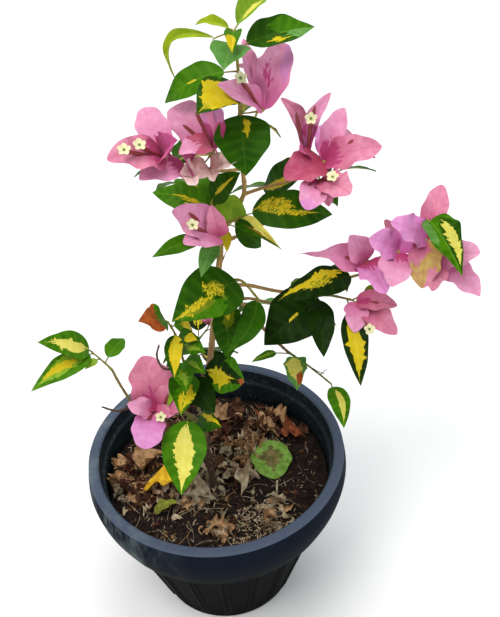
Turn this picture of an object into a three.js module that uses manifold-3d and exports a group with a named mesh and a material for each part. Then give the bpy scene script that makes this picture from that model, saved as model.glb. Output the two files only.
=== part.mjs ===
// A bougainvillea with variegated leaves in a round ribbed pot. Millimetres, +Z up.
// The origin is the centre of the pot's flat underside, and -Y is the plant's front.
import * as THREE from "three";
import { mergeVertices } from "three/addons/utils/BufferGeometryUtils.js";
import Module from "manifold-3d";

const wasm = await Module();
wasm.setup();

// ---- Driving dimensions ----

const CLEAR = 0.3; // gap between two pieces that touch on the real plant
const JOIN_TOLERANCE = 0.02; // edges shorter than this are closed up where blades and twigs are joined
const DEG = Math.PI / 180;

// The pot: a tapering body, a stepped bulging band at the top and a rounded rim.
const POT = {
  height: 186,
  footRadius: 71,
  bodyTopRadius: 108,
  bodyTop: 123,
  bandFootRadius: 118,
  bandFoot: 129,
  bandRadius: 130,
  bandWidest: 167,
  rimRadius: 127,
  rimWidth: 10,
  wall: 3,
  floor: 4,
  ledgeRadius: 112.5,
  ledgeDepth: 15,
  sides: 40,
};
const RIBS = { pairs: 20, apart: 3.2 * DEG, width: 2.6, proud: 1.2, sunk: 1, foot: 8, top: 118 };
const SOIL = { level: 149, edge: 146, sides: 40 };
const TRUNK_FOOT = { x: -4, y: -22, flare: 2.6, flareHeight: 14 };

// Blades: leaves and bracts are thin solids, folded a little along the midrib.
const LEAF = { thickness: 0.8, fold: 0.1, bow: 0.07, widest: 0.75, fullness: 0.9, rows: [0.22, 0.48, 0.76] };
const BRACT = { thickness: 0.8, fold: 0.13, bow: 0.1, widest: 0.8, fullness: 0.8, rows: [0.34, 0.72] };
const STALK = { radius: 0.8, sink: 1.5, steeper: 25 };
const KNOT = { radius: 1.9, past: 1.6 }; // the swollen stalk end where a bloom's bracts meet
// The flower on a bract.
const NONE = 0;
const CLOSED = 1;
const OPEN = 2;
const FLOWER = { length: 0.42, lift: 24, tube: 1.2, throat: 1.6, star: 4.6, depth: 2 };
const TWIG_SIDES = 3;
const LIMB_SIDES = 6;
const LIMB_STEP = 20; // length of a limb between two of its rings
const FRONT_LIGHT = [0, -0.55, 0.83]; // the way the front's blades face
const BACK_LIGHT = [0, 0.5, 0.86];

// The view that the plan is read in: it looks along +Y, dipped below the level, and its frame is
// tilted about the line of sight. Its focal length and middle are in the frame's own units.
const VIEW = {
  from: new THREE.Vector3(42.7, -612.5, 856),
  dip: 38.88 * DEG,
  tilt: -3.66 * DEG,
  focal: 900,
  middle: [250, 308.5],
};
const STEM_STEP = 1; // degrees to which the legs of a stem are rounded
const BLADE_STEP = 5; // degrees to which leaves, bracts and the stalks of blooms are rounded
const AIM_TURNS = 30; // turns in which a leaf's stalk and its blade are brought to agree

// The rule of the sprays at the back: sizes are [least, range].
const BACK_RULE = {
  turn: 137.5,
  stalk: [6, 6],
  pitch: [-35, 45],
  length: [42, 20],
  shape: [0.5, 0.15],
  bractLength: [44, 8],
  bractShape: 0.64,
  open: [45, 15],
  bloomAxis: [30, 30],
  bloomSwing: 60,
  bloomStalk: [50, 6],
};

const COLOURS = {
  pot: 0x1c242b,
  soil: 0x2a1c14,
  bark: 0x7a5230,
  leaf: 0x3c7a1c,
  bloom: 0xc86ea2,
};

// ---- The plan of the plant ----
// Places are read in one view of the plant, as [across, down] in a frame 500 wide and 617 high.
// Where a stem passes or a bloom sits, a third number gives its y in millimetres.
// A stem runs through its places from the limb that carries it: "on" names that limb, and "at" is
// how far along it the stem sits, from 0 to 1.
// A leaf row is [name, at, stalk, tip, length, width, side]: the blade is its true length, and its
// tip shows at its place, on the near or the far side of its root.
// A bract row is [tip, length, width, side, flower].

const NEAR = -1;
const FAR = 1;

const LIMBS = [
  {
    name: "trunk", radii: [3.6, 2.7],
    through: [[206, 440, -20], [207, 390, -14], [212, 340, -8], [218, 275, -2], [222, 229, 2]],
  },
  {
    name: "leader", on: "trunk", at: 1.0, radii: [2.6, 1.9],
    through: [[236, 208, 4], [244, 193, 4], [243, 171, 3], [241, 140, 2], [240, 118, 1]],
  },
  {
    name: "bough_upper_left", on: "leader", at: 0.575, radii: [1.7, 1.4],
    through: [[228, 171, -4], [214, 170, -8]],
  },
  {
    name: "bough_upper_right", on: "leader", at: 0.345, radii: [1.9, 1.5],
    through: [[266, 187, 8], [287, 182, 12]],
  },
  {
    name: "bough_right", on: "trunk", at: 0.8, radii: [2.4, 1.7],
    through: [[243, 285, 4], [284, 292, 10], [312, 285, 9]],
  },
  {
    name: "bough_lower_right", on: "trunk", at: 0.785, radii: [2.0, 1.4],
    through: [[244, 305, 4], [266, 331, 14], [288, 352, 20]],
  },
  {
    name: "bough_lower_left", on: "trunk", at: 0.33, radii: [1.8, 1.5],
    through: [[200, 421, -28], [184, 412, -38], [160, 409, -46], [134, 406, -50]],
  },
  {
    name: "bough_left_tip", on: "bough_lower_left", at: 1.0, radii: [1.4, 1.2],
    through: [[119, 383, -47], [112, 370, -45]],
  },
  {
    name: "bough_inner", on: "trunk", at: 0.24, radii: [1.6, 1.3],
    through: [[206, 430, -30], [196, 400, -40], [187, 376, -44]],
  },
  {
    name: "bough_front", on: "trunk", at: 0.2, radii: [1.5, 1.3],
    through: [[204, 434, -34], [197, 425, -48]],
  },
  {
    name: "bough_back_right", on: "trunk", at: 0.955, radii: [1.8, 1.4],
    through: [[262, 225, 30], [285, 208, 48]],
  },
  {
    name: "bough_back_left", on: "trunk", at: 0.975, radii: [1.7, 1.4],
    through: [[205, 205, 30], [192, 188, 45]],
  },
  {
    name: "bough_back_middle", on: "trunk", at: 0.655, radii: [1.8, 1.4],
    through: [[240, 300, 30], [272, 303, 48]],
  },
  {
    name: "bough_back_low", on: "trunk", at: 0.32, radii: [1.6, 1.3],
    through: [[205, 385, 20], [198, 360, 40]],
  },
];

const SPRAYS = [
  {
    name: "crown", on: "leader", at: 1.0, radii: [1.8, 0.9], finish: "leaf",
    through: [[240, 108, 0], [238, 70, -3], [234, 30, -6]],
    leaves: [
      ["heart", 0.1, 6, [246, 175], 46, 42, NEAR],
      ["upper_patch", 0.4, 5, [194, 104], 44, 30, FAR],
      ["upper_left", 0.55, 10, [161, 101], 54, 25, FAR],
      ["top_right", 0.78, 9, [315, 26], 54, 25, FAR],
      ["top_under", 0.86, 5, [224, 69], 30, 24, NEAR],
      ["top_arch", 0.93, 6, [175, 80], 50, 9, FAR],
      ["top_fold", 0.97, 4, [232, 53], 22, 11, NEAR],
      ["top_left", 1.0, 4, [195, 24], 26, 8, FAR],
      ["top_crest", 1.0, 5, [267, -2], 34, 13, FAR],
    ],
    blooms: [
      {
        at: 0.05, centre: [262, 110, -14],
        bracts: [
          [[289, 44], 56, 32, FAR, NONE],
          [[243, 38], 54, 26, FAR, NONE],
          [[219, 83], 44, 22, NEAR, OPEN],
        ],
      },
    ],
  },
  {
    name: "spray_upper_left", on: "bough_upper_left", at: 1.0, radii: [1.4, 0.9], finish: "bloom",
    through: [[200, 171, -12], [188, 171, -16], [166, 163, -26]],
    leaves: [],
    blooms: [
      {
        at: 0.3, centre: [214, 150, -22],
        bracts: [
          [[172, 106], 48, 34, FAR, CLOSED],
          [[214, 102], 38, 18, FAR, CLOSED],
          [[182, 152], 40, 24, NEAR, NONE],
        ],
      },
      {
        at: 0.55, centre: [186, 168, -26],
        bracts: [
          [[140, 178], 44, 26, NEAR, CLOSED],
          [[180, 150], 28, 24, NEAR, NONE],
          [[196, 184], 24, 18, NEAR, NONE],
        ],
      },
      {
        at: 1.0, centre: [165, 158, -34],
        bracts: [
          [[142, 107], 42, 30, FAR, NONE],
          [[108, 158], 48, 30, NEAR, OPEN],
          [[176, 140], 26, 22, FAR, NONE],
        ],
      },
    ],
  },
  {
    name: "spray_upper_right", on: "bough_upper_right", at: 1.0, radii: [1.5, 0.9], finish: "bloom",
    through: [[308, 174, 13], [322, 164, 12]],
    leaves: [
      ["right_back", 0.35, 4, [264, 186], 40, 24, FAR],
    ],
    blooms: [
      {
        at: 0.6, centre: [306, 158, 2],
        bracts: [
          [[281, 97], 52, 17, FAR, CLOSED],
          [[331, 92], 54, 20, FAR, OPEN],
          [[300, 150], 20, 14, NEAR, NONE],
        ],
      },
      {
        at: 1.0, centre: [324, 162, 0],
        bracts: [
          [[344, 107], 46, 22, FAR, CLOSED],
          [[381, 146], 48, 32, NEAR, OPEN],
          [[285, 178], 40, 32, NEAR, NONE],
        ],
      },
      {
        at: 0.8, centre: [320, 180, -14],
        bracts: [
          [[313, 208], 30, 28, NEAR, NONE],
          [[350, 192], 32, 26, NEAR, CLOSED],
          [[327, 208], 23, 12, NEAR, CLOSED],
        ],
      },
    ],
  },
  {
    name: "spray_fork_right", on: "trunk", at: 0.985, radii: [1.4, 1.0], finish: "leaf",
    through: [[230, 223, -8], [240, 217, -14]],
    leaves: [
      ["fork_lime", 0.55, 3, [236, 196], 25, 22, NEAR],
      ["fork_drop", 0.4, 5, [227, 252], 18, 8, NEAR],
      ["fork_blade", 0.7, 6, [283, 250], 46, 16, FAR],
      ["fork_under", 0.9, 4, [256, 249], 28, 22, NEAR],
      ["right_big", 1.0, 10, [333, 214], 66, 34, FAR],
    ],
    blooms: [],
  },
  {
    name: "spray_fork_left", on: "trunk", at: 0.94, radii: [1.4, 1.0], finish: "leaf",
    through: [[220, 231, -8], [216, 216, -12], [211, 204, -14]],
    leaves: [
      ["fork_long", 0.9, 6, [152, 192], 46, 24, FAR],
      ["fork_back", 1.0, 4, [240, 172], 34, 22, NEAR],
    ],
    blooms: [],
  },
  {
    name: "spray_middle_left", on: "trunk", at: 0.9, radii: [1.4, 1.0], finish: "leaf",
    through: [[219, 243, -10], [212, 241, -20], [206, 238, -26]],
    leaves: [
      ["low_hang", 0.3, 8, [201, 277], 32, 16, NEAR],
      ["low_left", 0.6, 18, [152, 257], 40, 15, NEAR],
    ],
    blooms: [
      {
        at: 1.0, centre: [219, 237, -34],
        bracts: [
          [[172, 211], 46, 34, NEAR, OPEN],
          [[184, 242], 40, 24, NEAR, CLOSED],
          [[212, 206], 34, 18, NEAR, NONE],
        ],
      },
    ],
  },
  {
    name: "spray_right", on: "bough_right", at: 1.0, radii: [1.6, 0.9], finish: "bloom",
    through: [[350, 277, 0], [382, 266, -8], [415, 252, -14], [440, 238, -16]],
    leaves: [
      ["right_cap", 0.97, 6, [459, 270], 50, 34, NEAR],
    ],
    blooms: [
      {
        at: 0.42, centre: [366, 262, -12],
        bracts: [
          [[297, 253], 58, 28, NEAR, CLOSED],
          [[386, 292], 44, 28, NEAR, NONE],
          [[350, 236], 30, 24, NEAR, NONE],
        ],
      },
      {
        at: 0.65, centre: [398, 252, -22],
        bracts: [
          [[370, 238], 30, 26, NEAR, NONE],
          [[392, 286], 36, 28, NEAR, CLOSED],
          [[424, 218], 40, 26, FAR, CLOSED],
        ],
      },
      {
        at: 0.92, centre: [426, 240, -24],
        bracts: [
          [[443, 184], 48, 28, FAR, CLOSED],
          [[392, 222], 38, 26, NEAR, NONE],
          [[422, 288], 40, 26, NEAR, CLOSED],
        ],
      },
      {
        at: 1.0, centre: [440, 262, -28],
        bracts: [
          [[480, 295], 44, 26, NEAR, CLOSED],
          [[480, 252], 38, 26, NEAR, OPEN],
          [[432, 290], 34, 24, NEAR, NONE],
        ],
      },
    ],
  },
  {
    name: "spray_right_hanging", on: "bough_right", at: 0.93, radii: [1.4, 1.0], finish: "leaf",
    through: [[318, 294, -2], [334, 296, -10], [352, 300, -14]],
    leaves: [
      ["right_dark", 0.15, 6, [268, 343], 56, 36, NEAR],
      ["right_droop", 0.25, 8, [323, 357], 51, 24, NEAR],
      ["right_roof", 0.7, 5, [277, 301], 54, 24, NEAR],
      ["hang_leaf", 0.9, 14, [361, 386], 64, 22, NEAR],
    ],
    blooms: [
      {
        at: 1.0, centre: [356, 302, -18],
        bracts: [
          [[397, 305], 36, 20, NEAR, CLOSED],
          [[397, 334], 44, 22, NEAR, OPEN],
          [[355, 332], 30, 20, NEAR, NONE],
        ],
      },
    ],
  },
  {
    name: "spray_lower_right", on: "bough_lower_right", at: 1.0, radii: [1.3, 0.9], finish: "leaf",
    through: [[310, 367, 18], [331, 384, 10]],
    leaves: [
      ["low_small", 0.12, 5, [250, 363], 39, 10, NEAR],
      ["low_pale", 0.3, 4, [296, 389], 38, 18, NEAR],
      ["low_end", 1.0, 5, [344, 428], 42, 24, NEAR],
    ],
    blooms: [],
  },
  {
    name: "spray_centre", on: "trunk", at: 0.83, radii: [1.5, 1.1], finish: "leaf",
    through: [[228, 281, -12], [242, 281, -19], [252, 291, -22]],
    leaves: [
      ["centre_top", 0.45, 5, [190, 302], 50, 34, NEAR],
      ["centre_big", 0.7, 6, [172, 321], 66, 42, NEAR],
      ["centre_tail", 0.8, 24, [233, 363], 46, 22, NEAR],
      ["centre_right", 1.0, 8, [229, 352], 48, 22, NEAR],
    ],
    blooms: [],
  },
  {
    name: "spray_inner", on: "bough_inner", at: 1.0, radii: [1.3, 0.9], finish: "leaf",
    through: [[177, 340, -46], [168, 322, -46]],
    leaves: [
      ["inner_fold", 0.05, 5, [181, 415], 42, 26, NEAR],
      ["inner_round", 0.1, 16, [246, 382], 40, 34, FAR],
      ["inner_low", 0.3, 6, [186, 392], 34, 20, NEAR],
      ["inner_mid", 0.55, 6, [205, 352], 34, 22, NEAR],
      ["inner_gold", 0.8, 4, [174, 378], 44, 15, NEAR],
      ["inner_red", 1.0, 5, [140, 314], 32, 20, NEAR],
    ],
    blooms: [],
  },
  {
    name: "spray_front", on: "bough_front", at: 1.0, radii: [1.3, 1.0], finish: "leaf",
    through: [[188, 416, -62]],
    leaves: [
      ["front_right", 0.3, 8, [221, 427], 36, 22, NEAR],
      ["front_big", 1.0, 5, [181, 490], 60, 38, NEAR],
    ],
    blooms: [],
  },
  {
    name: "spray_lower_left", on: "bough_lower_left", at: 0.75, radii: [1.2, 0.9], finish: "bloom",
    through: [[160, 411, -56]],
    leaves: [],
    blooms: [
      {
        at: 0.7, centre: [162, 410, -59],
        bracts: [
          [[142, 356], 50, 32, FAR, NONE],
          [[182, 384], 34, 26, NEAR, OPEN],
          [[155, 448], 38, 34, NEAR, CLOSED],
        ],
      },
      {
        at: 1.0, centre: [156, 412, -60],
        bracts: [
          [[128, 404], 30, 18, NEAR, OPEN],
          [[175, 413], 17, 14, NEAR, NONE],
        ],
      },
    ],
  },
  {
    name: "spray_far_left", on: "bough_left_tip", at: 1.0, radii: [1.1, 0.8], finish: "leaf",
    through: [[106, 364, -42], [92, 352, -36]],
    leaves: [
      ["far_up", 0.35, 10, [126, 338], 24, 13, FAR],
      ["far_bud", 0.6, 4, [85, 369], 15, 7, NEAR],
      ["far_low", 0.9, 5, [33, 387], 60, 22, NEAR],
      ["far_top", 1.0, 4, [38, 342], 52, 24, NEAR],
    ],
    blooms: [],
  },
];

// The sprays on the hidden side are grown by the rule, from a seed each.
const BACK_SPRAYS = [
  {
    name: "spray_back_top", on: "leader", at: 0.8, radii: [1.5, 0.9], finish: "leaf",
    through: [[250, 130, 28], [262, 100, 45]], leafCount: 4, seed: 41,
  },
  {
    name: "spray_back_right", on: "bough_back_right", at: 1.0, radii: [1.4, 0.9], finish: "leaf",
    through: [[308, 190, 62], [332, 172, 72]], leafCount: 6, seed: 6,
  },
  {
    name: "spray_back_left", on: "bough_back_left", at: 1.0, radii: [1.4, 0.9], finish: "leaf",
    through: [[178, 172, 58], [160, 158, 66]], leafCount: 6, seed: 69,
  },
  {
    name: "spray_back_middle", on: "bough_back_middle", at: 1.0, radii: [1.4, 0.9], finish: "leaf",
    through: [[294, 312, 58], [312, 325, 60]], leafCount: 6, seed: 109,
  },
  {
    name: "spray_back_low", on: "bough_back_low", at: 1.0, radii: [1.3, 0.9], finish: "leaf",
    through: [[196, 345, 55], [206, 330, 62]], leafCount: 6, seed: 48,
  },
  {
    name: "spray_back_far", on: "bough_right", at: 0.78, radii: [1.4, 0.9], finish: "leaf",
    through: [[330, 276, 30], [368, 262, 44], [396, 250, 50]], leafCount: 6, seed: 72,
  },
];

// Dead leaves on the soil: [x, y, bearing, pitch, length, width].
const LITTER_SINK = 0.2;
const LITTER = [
  [62, -42, 140, 8, 40, 34],
  [-62, -64, 60, 30, 34, 18],
  [-72, -40, 20, 25, 36, 20],
  [40, 18, 170, 20, 26, 16],
  [72, 12, 200, 15, 24, 12],
  [10, -72, 100, 18, 26, 14],
];

// ---- Directions and curves ----

function heading(bearing, pitch) {
  const b = bearing * DEG;
  const p = pitch * DEG;
  return new THREE.Vector3(Math.cos(p) * Math.cos(b), Math.cos(p) * Math.sin(b), Math.sin(p));
}

// The bearing from +X towards +Y and the pitch above the level of a step, in degrees.
const directionOf = (step) => [Math.atan2(step.y, step.x) / DEG, Math.asin(step.z / step.length()) / DEG];
const rounded = (values, step) => values.map((value) => Math.round(value / step) * step);

// The direction in which the view sees a place of its frame.
function sight([across, down]) {
  const ahead = new THREE.Vector3(0, Math.cos(VIEW.dip), -Math.sin(VIEW.dip));
  const level = new THREE.Vector3(1, 0, 0);
  const upright = new THREE.Vector3().crossVectors(level, ahead);
  const right = level.clone().applyAxisAngle(ahead, -VIEW.tilt);
  const up = upright.clone().applyAxisAngle(ahead, -VIEW.tilt);
  return ahead
    .multiplyScalar(VIEW.focal)
    .addScaledVector(right, across - VIEW.middle[0])
    .addScaledVector(up, VIEW.middle[1] - down)
    .normalize();
}

// The point that shows at a place and lies at a depth y.
function atDepth([across, down, y]) {
  const way = sight([across, down]);
  return VIEW.from.clone().addScaledVector(way, (y - VIEW.from.y) / way.y);
}

// The direction from a root to the point that shows at a place and is a length away, on the near
// or far side, or to the nearest such point where the length falls short.
function aimed(root, place, length, side) {
  const way = sight(place);
  const gap = VIEW.from.clone().sub(root);
  const along = way.dot(gap);
  const spare = Math.sqrt(Math.max(0, along ** 2 - gap.lengthSq() + length ** 2));
  return directionOf(gap.addScaledVector(way, side * spare - along));
}

// A smooth stem from its start through its places, each leg in whole degrees and millimetres.
function curveThrough(start, places) {
  const points = [start.clone()];
  for (const place of places) {
    const step = atDepth(place).sub(points.at(-1));
    const [bearing, pitch] = rounded(directionOf(step), STEM_STEP);
    points.push(points.at(-1).clone().addScaledVector(heading(bearing, pitch), Math.round(step.length())));
  }
  if (points.length === 2) points.splice(1, 0, points[0].clone().lerp(points[1], 0.5));
  return new THREE.CatmullRomCurve3(points, false, "catmullrom", 0.5);
}

// The blade's side and face directions: it turns its face to the light as far as its axis lets it.
function bladeAxes(axis, light) {
  const face = light.clone().addScaledVector(axis, -light.dot(axis)).normalize();
  return { side: new THREE.Vector3().crossVectors(face, axis), face };
}

// Where a leaf's stalk ends: it leaves the stem more steeply than the blade lies.
function stalkEnd(from, stalk, bearing, pitch) {
  return from.clone().addScaledVector(heading(bearing, Math.min(80, pitch + STALK.steeper)), stalk);
}

// A leaf row set on its stem. The stalk's end depends on the blade's direction and the direction
// on the stalk's end, so the two are worked out in turn until they agree.
function setLeaf(stem, [, at, stalk, tip, length, width, side]) {
  const from = stem.getPointAt(at);
  let way = aimed(from, tip, length, side);
  for (let turn = 1; turn < AIM_TURNS; turn++) way = aimed(stalkEnd(from, stalk, ...way), tip, length, side);
  const [bearing, pitch] = rounded(way, BLADE_STEP);
  return { from, stalk, bearing, pitch, length, width };
}

// A bloom set on its stem: its stalk reaches to its centre, and its bracts point from there.
function setBloom(stem, { at, centre, bracts }) {
  const from = stem.getPointAt(at);
  const step = atDepth(centre).sub(from);
  const stalk = [...rounded(directionOf(step), BLADE_STEP), Math.round(step.length())];
  const middle = from.clone().addScaledVector(heading(...stalk), stalk[2]);
  const rows = bracts.map(([tip, length, width, side, flower]) => {
    const [bearing, pitch] = rounded(aimed(middle, tip, length, side), BLADE_STEP);
    return { bearing, pitch, length, width, flower };
  });
  return { from, stalk, bracts: rows };
}

// A small repeatable random number source with values from 0 to 1.
function seeded(seed) {
  let state = seed * 7919 + 17;
  return () => {
    state = (state * 9301 + 49297) % 233280;
    return state / 233280;
  };
}

// ---- Solids ----

function geometryFrom(vertices, faces) {
  const geometry = new THREE.BufferGeometry();
  geometry.setAttribute("position", new THREE.Float32BufferAttribute(vertices.flat(), 3));
  geometry.setIndex(faces.flat());
  return geometry;
}

function solidFrom(geometry) {
  const bare = geometry.clone();
  bare.deleteAttribute("normal");
  bare.deleteAttribute("uv");
  const merged = mergeVertices(bare, 1e-4);
  const made = new wasm.Manifold(
    new wasm.Mesh({
      numProp: 3,
      vertProperties: new Float32Array(merged.attributes.position.array),
      triVerts: new Uint32Array(merged.index.array),
    }),
  );
  return made;
}

function meshFrom(name, solid, material) {
  const { vertProperties, triVerts, numProp } = solid.getMesh();
  const geometry = new THREE.BufferGeometry();
  const count = vertProperties.length / numProp;
  const position = new Float32Array(count * 3);
  for (let i = 0; i < count; i++) position.set(vertProperties.subarray(i * numProp, i * numProp + 3), i * 3);
  geometry.setAttribute("position", new THREE.BufferAttribute(position, 3));
  geometry.setIndex(new THREE.BufferAttribute(triVerts, 1));
  geometry.computeVertexNormals();
  const mesh = new THREE.Mesh(geometry, material);
  mesh.name = name;
  return mesh;
}

const isEmpty = (solid) => solid.numTri() === 0;
const join = (solids) => solids.reduce((whole, solid) => whole.add(solid));
const tidied = (solid) => solid.asOriginal().simplify(JOIN_TOLERANCE);

// The largest body of a solid: a loose scrap left by a cut is dropped.
function largest(solid) {
  const bodies = solid.decompose();
  return bodies.reduce((best, body) => (body.volume() > best.volume() ? body : best));
}

// A closed tube through the points, its radius given at each, its rings turned square to the path.
function tube(points, radii, sides) {
  const vertices = [];
  const faces = [];
  let across = new THREE.Vector3(1, 0, 0);
  points.forEach((point, i) => {
    const before = points[Math.max(i - 1, 0)];
    const after = points[Math.min(i + 1, points.length - 1)];
    const along = after.clone().sub(before).normalize();
    if (Math.abs(across.dot(along)) > 0.9) across = new THREE.Vector3(0, 1, 0);
    across = across.clone().addScaledVector(along, -across.dot(along)).normalize();
    const up = new THREE.Vector3().crossVectors(along, across);
    for (let k = 0; k < sides; k++) {
      const angle = (2 * Math.PI * k) / sides;
      const rim = point
        .clone()
        .addScaledVector(across, radii[i] * Math.cos(angle))
        .addScaledVector(up, radii[i] * Math.sin(angle));
      vertices.push(rim.toArray());
    }
  });
  for (let i = 0; i + 1 < points.length; i++)
    for (let k = 0; k < sides; k++) {
      const a = i * sides + k;
      const b = i * sides + ((k + 1) % sides);
      faces.push([a, b, b + sides], [a, b + sides, a + sides]);
    }
  const last = (points.length - 1) * sides;
  for (let k = 1; k + 1 < sides; k++) faces.push([0, k + 1, k], [last, last + k, last + k + 1]);
  return solidFrom(geometryFrom(vertices, faces));
}

// A limb's solid along its curve, and the same limb grown by a clearance, which cuts its children.
function limbSolid(curve, [foot, tip], sides, grow = 0, swell = () => 0) {
  const steps = Math.max(2, Math.round(curve.getLength() / LIMB_STEP));
  const points = curve.getSpacedPoints(steps);
  const radii = points.map((_, i) => foot + ((tip - foot) * i) / steps + swell(points[i]) + grow);
  if (grow > 0) {
    const along = points.at(-1).clone().sub(points.at(-2)).normalize();
    points.push(points.at(-1).clone().addScaledVector(along, grow));
    radii.push(tip + grow);
  }
  return tube(points, radii, sides);
}

// A leaf or bract: an upper and an under sheet that meet at the margins, a thickness apart
// along the midrib. Its half width at t along it is sin(pi t^widest)^fullness, its margins rise
// by the fold, and its middle bows up over the straight line from root to tip.
function blade(root, axis, length, width, light, shape) {
  const { side, face } = bladeAxes(axis, light);
  const half = (t) => (width / 2) * Math.sin(Math.PI * t ** shape.widest) ** shape.fullness;
  const rise = (t) => 4 * shape.bow * length * t * (1 - t);
  const place = (t, hand, lift) =>
    root
      .clone()
      .addScaledVector(axis, length * t)
      .addScaledVector(side, hand * half(t))
      .addScaledVector(face, rise(t) + Math.abs(hand) * 2 * shape.fold * half(t) + lift)
      .toArray();
  const { rows, thickness } = shape;
  const n = rows.length;
  const vertices = [
    place(0, 0, 0),
    ...[[0, thickness / 2], [1, 0], [-1, 0], [0, -thickness / 2]].flatMap(([hand, lift]) =>
      rows.map((t) => place(t, hand, lift))),
    place(1, 0, 0),
  ];
  const root0 = 0;
  const tip = 4 * n + 1;
  const line = (which) => [root0, ...rows.map((_, i) => 1 + which * n + i), tip];
  const [upper, right, left, under] = [0, 1, 2, 3].map(line);
  const faces = [];
  // One strip of a sheet between a midrib line and a margin.
  const strip = (mid, margin) => {
    for (let i = 0; i <= n; i++) {
      if (i < n) faces.push([mid[i], mid[i + 1], margin[i + 1]]);
      if (i > 0) faces.push([mid[i], i < n ? margin[i + 1] : tip, margin[i]]);
    }
  };
  strip(upper, right);
  strip(under, left);
  const turned = faces.length;
  strip(upper, left);
  strip(under, right);
  for (let i = turned; i < faces.length; i++) faces[i].reverse();
  return solidFrom(geometryFrom(vertices, faces));
}

// ---- Leaves and blooms ----

// A leaf on its stalk: the blade's root is sunk in the stalk's end.
function leaf({ from, stalk, bearing, pitch, length, width }, light) {
  const axis = heading(bearing, pitch);
  const root = stalkEnd(from, stalk, bearing, pitch);
  const end = root.clone().addScaledVector(axis, STALK.sink);
  return tube([from, end], [STALK.radius, STALK.radius], TWIG_SIDES)
    .add(blade(root, axis, length, width, light, LEAF));
}

// A flower on a bract: a slim tube that lifts off the midrib, with or without its open star.
function flower(centre, axis, length, light, open) {
  const { face } = bladeAxes(axis, light);
  const lift = FLOWER.lift * DEG;
  const along = axis.clone().multiplyScalar(Math.cos(lift)).addScaledVector(face, Math.sin(lift));
  const end = centre.clone().addScaledVector(along, length * FLOWER.length);
  const mouth = end.clone().addScaledVector(along, FLOWER.depth);
  if (open) return tube([centre, end, mouth], [FLOWER.tube, FLOWER.throat, FLOWER.star], TWIG_SIDES);
  return tube([centre, end], [FLOWER.tube, FLOWER.throat], TWIG_SIDES);
}

// A bloom: bracts and their flowers round the swollen end of a stalk.
function bloom({ from, stalk, bracts }, light) {
  const along = heading(...stalk);
  const centre = from.clone().addScaledVector(along, stalk[2]);
  const past = centre.clone().addScaledVector(along, KNOT.past);
  const parts = [tube([from, past], [STALK.radius, KNOT.radius], TWIG_SIDES)];
  for (const { bearing, pitch, length, width, flower: kind } of bracts) {
    const axis = heading(bearing, pitch);
    parts.push(blade(centre, axis, length, width, light, BRACT));
    if (kind !== NONE) parts.push(flower(centre, axis, length, light, kind === OPEN));
  }
  return join(parts);
}

// The seeded rule of a spray at the back: leaves turn round the stem by a fixed angle,
// and a bloom sits at its end, its bracts spread round one axis.
function grownBy({ leafCount, seed }, stem) {
  const random = seeded(seed);
  const between = ([least, range]) => least + range * random();
  const lastLeg = stem.points.at(-1).clone().sub(stem.points.at(-2));
  const [stemBearing] = rounded(directionOf(lastLeg), STEM_STEP);
  const leaves = [];
  for (let i = 0; i < leafCount; i++) {
    const stalk = between(BACK_RULE.stalk);
    const pitch = between(BACK_RULE.pitch);
    const length = between(BACK_RULE.length);
    const width = length * between(BACK_RULE.shape);
    const bearing = stemBearing + BACK_RULE.turn * i;
    leaves.push({ from: stem.getPointAt((i + 0.7) / leafCount), stalk, bearing, pitch, length, width });
  }
  const swing = BACK_RULE.bloomSwing * (random() - 0.5);
  const axis = heading(stemBearing + swing, between(BACK_RULE.bloomAxis));
  const spin = 360 * random();
  const open = between(BACK_RULE.open) * DEG;
  const across = new THREE.Vector3().crossVectors(axis, new THREE.Vector3(0, 0, 1)).normalize();
  const bracts = [NONE, CLOSED, OPEN].map((kind, k) => {
    const out = across.clone().applyAxisAngle(axis, (spin + 120 * k) * DEG);
    const way = axis.clone().multiplyScalar(Math.cos(open)).addScaledVector(out, Math.sin(open));
    const [bearing, pitch] = directionOf(way);
    const length = between(BACK_RULE.bractLength);
    return { bearing, pitch, length, width: length * BACK_RULE.bractShape, flower: kind };
  });
  const blooms = [{ from: stem.getPointAt(1), stalk: [stemBearing, ...BACK_RULE.bloomStalk], bracts }];
  return { leaves, blooms };
}

// ---- Pot and soil ----

const lathe = (profile, sides) =>
  solidFrom(new THREE.LatheGeometry(profile.map(([r, z]) => new THREE.Vector2(r, z)), sides)
    .rotateX(Math.PI / 2));

function potSolid() {
  const p = POT;
  const rimInner = p.rimRadius - p.rimWidth;
  const ledge = p.height - p.ledgeDepth;
  const outside = [
    [0, 0], [p.footRadius - 2, 0], [p.footRadius, 2], [p.bodyTopRadius, p.bodyTop],
    [p.bandFootRadius, p.bandFoot], [p.bandRadius - 4, p.bandFoot + 19], [p.bandRadius, p.bandWidest],
    [p.rimRadius, p.height - 2], [p.rimRadius - 3, p.height],
  ];
  const inside = [
    [rimInner + 2, p.height], [rimInner, p.height - 2], [rimInner - 1, ledge],
    [p.ledgeRadius, ledge - 1.5], [p.ledgeRadius, p.bandFoot + 5],
    [p.bodyTopRadius - p.wall, p.bodyTop], [p.footRadius - p.wall, p.floor], [0, p.floor],
  ];
  return join([lathe([...outside, ...inside], p.sides), ...ribSolids()]);
}

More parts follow.
